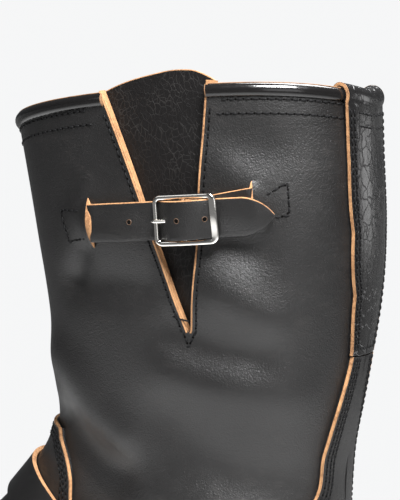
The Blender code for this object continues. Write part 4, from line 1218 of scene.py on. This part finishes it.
def make_instep_strap(threads):
    """The strap over the instep with its short end, buckle and prong."""
    half = INSTEP_STRAP_WIDTH / 2
    low = OVER_VAMP + STRAP_THICK / 2
    on_shaft = SHELL_GAP + STRAP_THICK / 2
    belt = INSTEP_BELT

    def mirrored(a):
        """The place along the band that lies opposite a on the other side of the boot."""
        c = np.interp(a, belt.along[::-1], belt.columns[::-1])
        return float(np.interp(-c, belt.columns, belt.along))

    path = [(mirrored(a), on_shaft) for a in (44, 38, 34)]
    path += [(a, low) for a in np.linspace(mirrored(26), -21, 24)] + crest(OVER_VAMP)
    strap = ribbon(belt, path, STRAP_THICK, pointed(half, 28), 320)
    shaft_run = SHELL_GAP + CHAPE_THICK / 2
    path = [(44, shaft_run), (39, shaft_run), (35, shaft_run)]
    path += [(a, OVER_VAMP + CHAPE_THICK / 2) for a in (26, 21, 16)] + chape_loop(OVER_VAMP)
    chape = ribbon(belt, path[::-1], CHAPE_THICK, lambda a: half - 1 + 0 * a, 90)
    make_strap(belt, strap, chape, "instep")
    make_buckle(belt, OVER_VAMP, half + INSTEP_SIDE_ROOM, "instep")
    lines = ((chape.ground(), [(42, 6.5), (31, 6.5), (31, -6.5), (42, -6.5), (42, 6.5)]),
             (strap.ground(), [(mirrored(42), 7), (mirrored(31), 7), (mirrored(31), -7),
                               (mirrored(42), -7), (mirrored(42), 7)]))
    for ground, corners in lines:
        lay_stitches(threads, belt.point(*corner_line(corners).T, 4), ground)


def two_sides(station, kept, inset, level):
    """The outline at given stations, drawn in by an inset: lateral side, then medial side."""
    centre, half = outline(station)
    half = half * (1 - inset / FULL_HALF)
    return np.stack([np.stack([kept, centre + side * half, level], -1) for side in (-1, 1)])


def sole_ring(up, inset):
    """Points round the sole at a height above its underside."""
    station = 0.5 * SOLE_LENGTH * (1 - np.cos(np.linspace(0, np.pi, 110)))
    kept = inset + station * (1 - 2 * inset / SOLE_LENGTH)
    return two_sides(station, kept, inset, underside(kept) + up)


def heel_ring(level, inset, breast):
    """Points round the heel at a height, or at the outsole's underside where level is None."""
    share = 1 - np.cos(np.linspace(0, np.pi / 2, 40))
    kept = inset + share * (breast - inset)
    height = underside(kept) - 0.3 if level is None else 0 * kept + level
    return two_sides(share * breast, kept, inset, height)


def ring_loops(rings):
    """Rings of two sides as closed loops."""
    return np.stack([np.concatenate([ring[0], ring[1][::-1]]) for ring in rings])


def stack_rings(piece, rings):
    """A skin through rings of two sides, with flat faces across the first and the last."""
    piece.grid(ring_loops(rings), closed_columns=True)
    for ring in (rings[0], rings[-1]):
        piece.grid(ring[0] + (ring[1] - ring[0]) * np.linspace(0, 1, 9)[:, None, None])


def make_sole(threads):
    """Outsole, midsole and welt with their trimmed edges, and the heel."""
    layers = (("outsole_edge", "outsole", "sole_rubber", RUBBER,
               ((0, 1.4), (0.35, 0.75), (1.0, 0.35), (3.0, 0.3), (5.0, 0.35), (5.5, 0.8))),
              ("midsole_edge", "midsole", "sole_leather", EDGE_DYE,
               ((5.8, 0.7), (6.1, 0.3), (7.8, 0.15), (9.6, 0.25), (10.0, 0.75))))
    for name, node, slot, material, levels in layers:
        piece = Piece()
        stack_rings(piece, [sole_ring(up, inset) for up, inset in levels])
        piece.make(name, [material], slot, [node])
    welt = Piece()
    levels = ((10.3, 12), (10.3, 0.7), (10.6, 0.2), (12.4, 0.0), (13.1, 0.35), (WELT_TOP, 1.1),
              (WELT_TOP, 12))
    rings = [sole_ring(up, inset) for up, inset in levels]
    welt.grid(ring_loops(rings), closed_rows=True, closed_columns=True)
    welt.make("welt_edge", [EDGE_DYE], "welt_leather", ["welt"])
    for side in (0, 1):
        line = sole_ring(WELT_TOP, 2.6)[side]
        line = line[line[:, 0] > HEEL_BREAST + 7]
        lay_stitches(threads, line, normals=np.tile((0, 0, 1.0), (len(line), 1)), pitch=3.6,
                     length=2.7, radius=0.42)
    heel = Piece()
    foot = TOP_LIFT_THICK + 0.3
    breast = HEEL_BREAST - BREAST_RAKE
    rings = []
    lifts = np.linspace(foot, LIFTS_TOP, 5)
    for low, high in zip(lifts[:-1], lifts[1:]):
        for height, groove in ((low + 0.12, 0.25), (low + 0.45, 0), (high - 0.45, 0),
                               (high - 0.12, 0.25)):
            risen = (height - foot) / 25
            rings.append(heel_ring(height, 2.0 - 1.6 * risen + groove,
                                   breast + BREAST_RAKE * risen))
    rings += [heel_ring(28.2, 0.7, HEEL_BREAST - 0.3), heel_ring(None, 0.45, HEEL_BREAST)]
    stack_rings(heel, rings)
    heel.make("heel_lifts", [EDGE_DYE], "sole_leather", ["heel_stack"])
    lift = Piece()
    levels = ((0, 3.2), (0.3, 2.7), (0.9, 2.4), (3.3, 2.25), (TOP_LIFT_THICK - 0.3, 2.1),
              (TOP_LIFT_THICK, 2.5))
    stack_rings(lift, [heel_ring(height, inset, breast) for height, inset in levels])
    lift.make("heel_rubber", [RUBBER], "sole_rubber", ["heel_top_lift"])


def light(name, energy, size, place, aim=(0.07, 0, 0.2)):
    """A soft square light that points at a spot; places are in metres."""
    data = bpy.data.lights.new(name, "AREA")
    data.energy = energy
    data.size = size
    lamp = bpy.data.objects.new(name, data)
    lamp.location = place
    lamp.rotation_euler = (Vector(aim) - Vector(place)).to_track_quat("-Z", "Y").to_euler()
    bpy.context.scene.collection.objects.link(lamp)


def mix_shaders(tree, share, first, second, last):
    """Two shaders mixed by a share, on the surface of the last node."""
    node = tree.nodes.new("ShaderNodeMixShader")
    for output, socket in zip((share, first, second), node.inputs):
        tree.links.new(output, socket)
    tree.links.new(node.outputs["Shader"], tree.nodes[last].inputs["Surface"])


def set_world():
    """A weak sky that the camera sees as a pale ground."""
    world = bpy.data.worlds.new("studio")
    world.use_nodes = True
    tree = world.node_tree
    lit = tree.nodes["Background"]
    lit.inputs["Color"].default_value = (0.9, 0.95, 1.0, 1)
    lit.inputs["Strength"].default_value = 0.08
    seen = tree.nodes.new("ShaderNodeBackground")
    seen.inputs["Color"].default_value = PALE
    ray = tree.nodes.new("ShaderNodeLightPath")
    mix_shaders(tree, ray.outputs["Is Camera Ray"], lit.outputs["Background"],
                seen.outputs["Background"], "World Output")
    bpy.context.scene.world = world


def set_floor():
    """A pale floor that catches shadows near the boot and turns into the ground further out."""
    data = bpy.data.meshes.new("floor")
    data.from_pydata([(-9, -9, -0.0002), (9, -9, -0.0002), (9, 9, -0.0002), (-9, 9, -0.0002)], [],
                     [(0, 1, 2, 3)])
    floor = bpy.data.objects.new("floor", data)
    bpy.context.scene.collection.objects.link(floor)
    pale, tree, shader, place = paint("pale_floor", (0.8, 0.8, 0.8), 0.7)
    glow = tree.nodes.new("ShaderNodeEmission")
    glow.inputs["Color"].default_value = PALE
    ray = tree.nodes.new("ShaderNodeLightPath")
    tree.links.new(ramp(tree, ray.outputs["Is Camera Ray"], 0, 1, FLOOR_GLOW, 1),
                   glow.inputs["Strength"])
    far = tree.nodes.new("ShaderNodeVectorMath")
    far.operation = "LENGTH"
    tree.links.new(place, far.inputs[0])
    mix_shaders(tree, ramp(tree, far.outputs["Value"], 0.22, 0.55), shader.outputs["BSDF"],
                glow.outputs["Emission"], "Material Output")
    data.materials.append(pale)


def set_camera():
    """The camera at the photograph's place, a little above the boot's lateral side."""
    azimuth, elevation, distance = math.radians(25), math.radians(4.3), 0.9
    target = Vector((0.07343, 0.001, 0.214))
    back = Vector((math.sin(azimuth) * math.cos(elevation),
                   -math.cos(azimuth) * math.cos(elevation), math.sin(elevation)))
    view = bpy.data.cameras.new("photo_view")
    view.lens = 154.3
    view.clip_start = 0.05
    camera = bpy.data.objects.new("photo_view", view)
    camera.location = target + back * distance
    camera.rotation_mode = "QUATERNION"
    camera.rotation_quaternion = (-back).to_track_quat("-Z", "Y")
    bpy.context.scene.collection.objects.link(camera)
    bpy.context.scene.camera = camera
    bpy.context.scene.view_settings.view_transform = "Standard"


def main():
    """All pieces, the insole's lining, and the stage."""
    threads = Piece()
    ground = make_upper()
    make_notch_edges(ground, threads)
    make_bead(threads, ground)
    make_gusset()
    make_counter(threads)
    make_backstay(threads)
    make_vamp(threads)
    make_top_strap(threads, ground)
    make_instep_strap(threads)
    make_sole(threads)
    threads.make("seam_threads", [THREAD, HOLE_SHADE], "upper_leather", sharp=80)
    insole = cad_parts["insole"]
    for index in range(max(1, len(insole.material_slots))):
        if not insole.material_slots:
            insole.data.materials.append(LINING)
        insole.material_slots[index].material = LINING
    set_world()
    set_floor()
    light("key", 38, 0.4, (0.47, -0.47, 1.0))
    light("low_front", 1.3, 0.5, (0.71, -0.77, 0.3))
    light("top_back", 17, 0.5, (0.14, 0.42, 1.1))
    light("front_left", 1.1, 0.5, (-0.45, -0.9, 0.75))
    light("back_right", 0.9, 0.35, (0.76, 0.7, 0.3), (0.14, 0, 0.16))
    set_camera()


main()
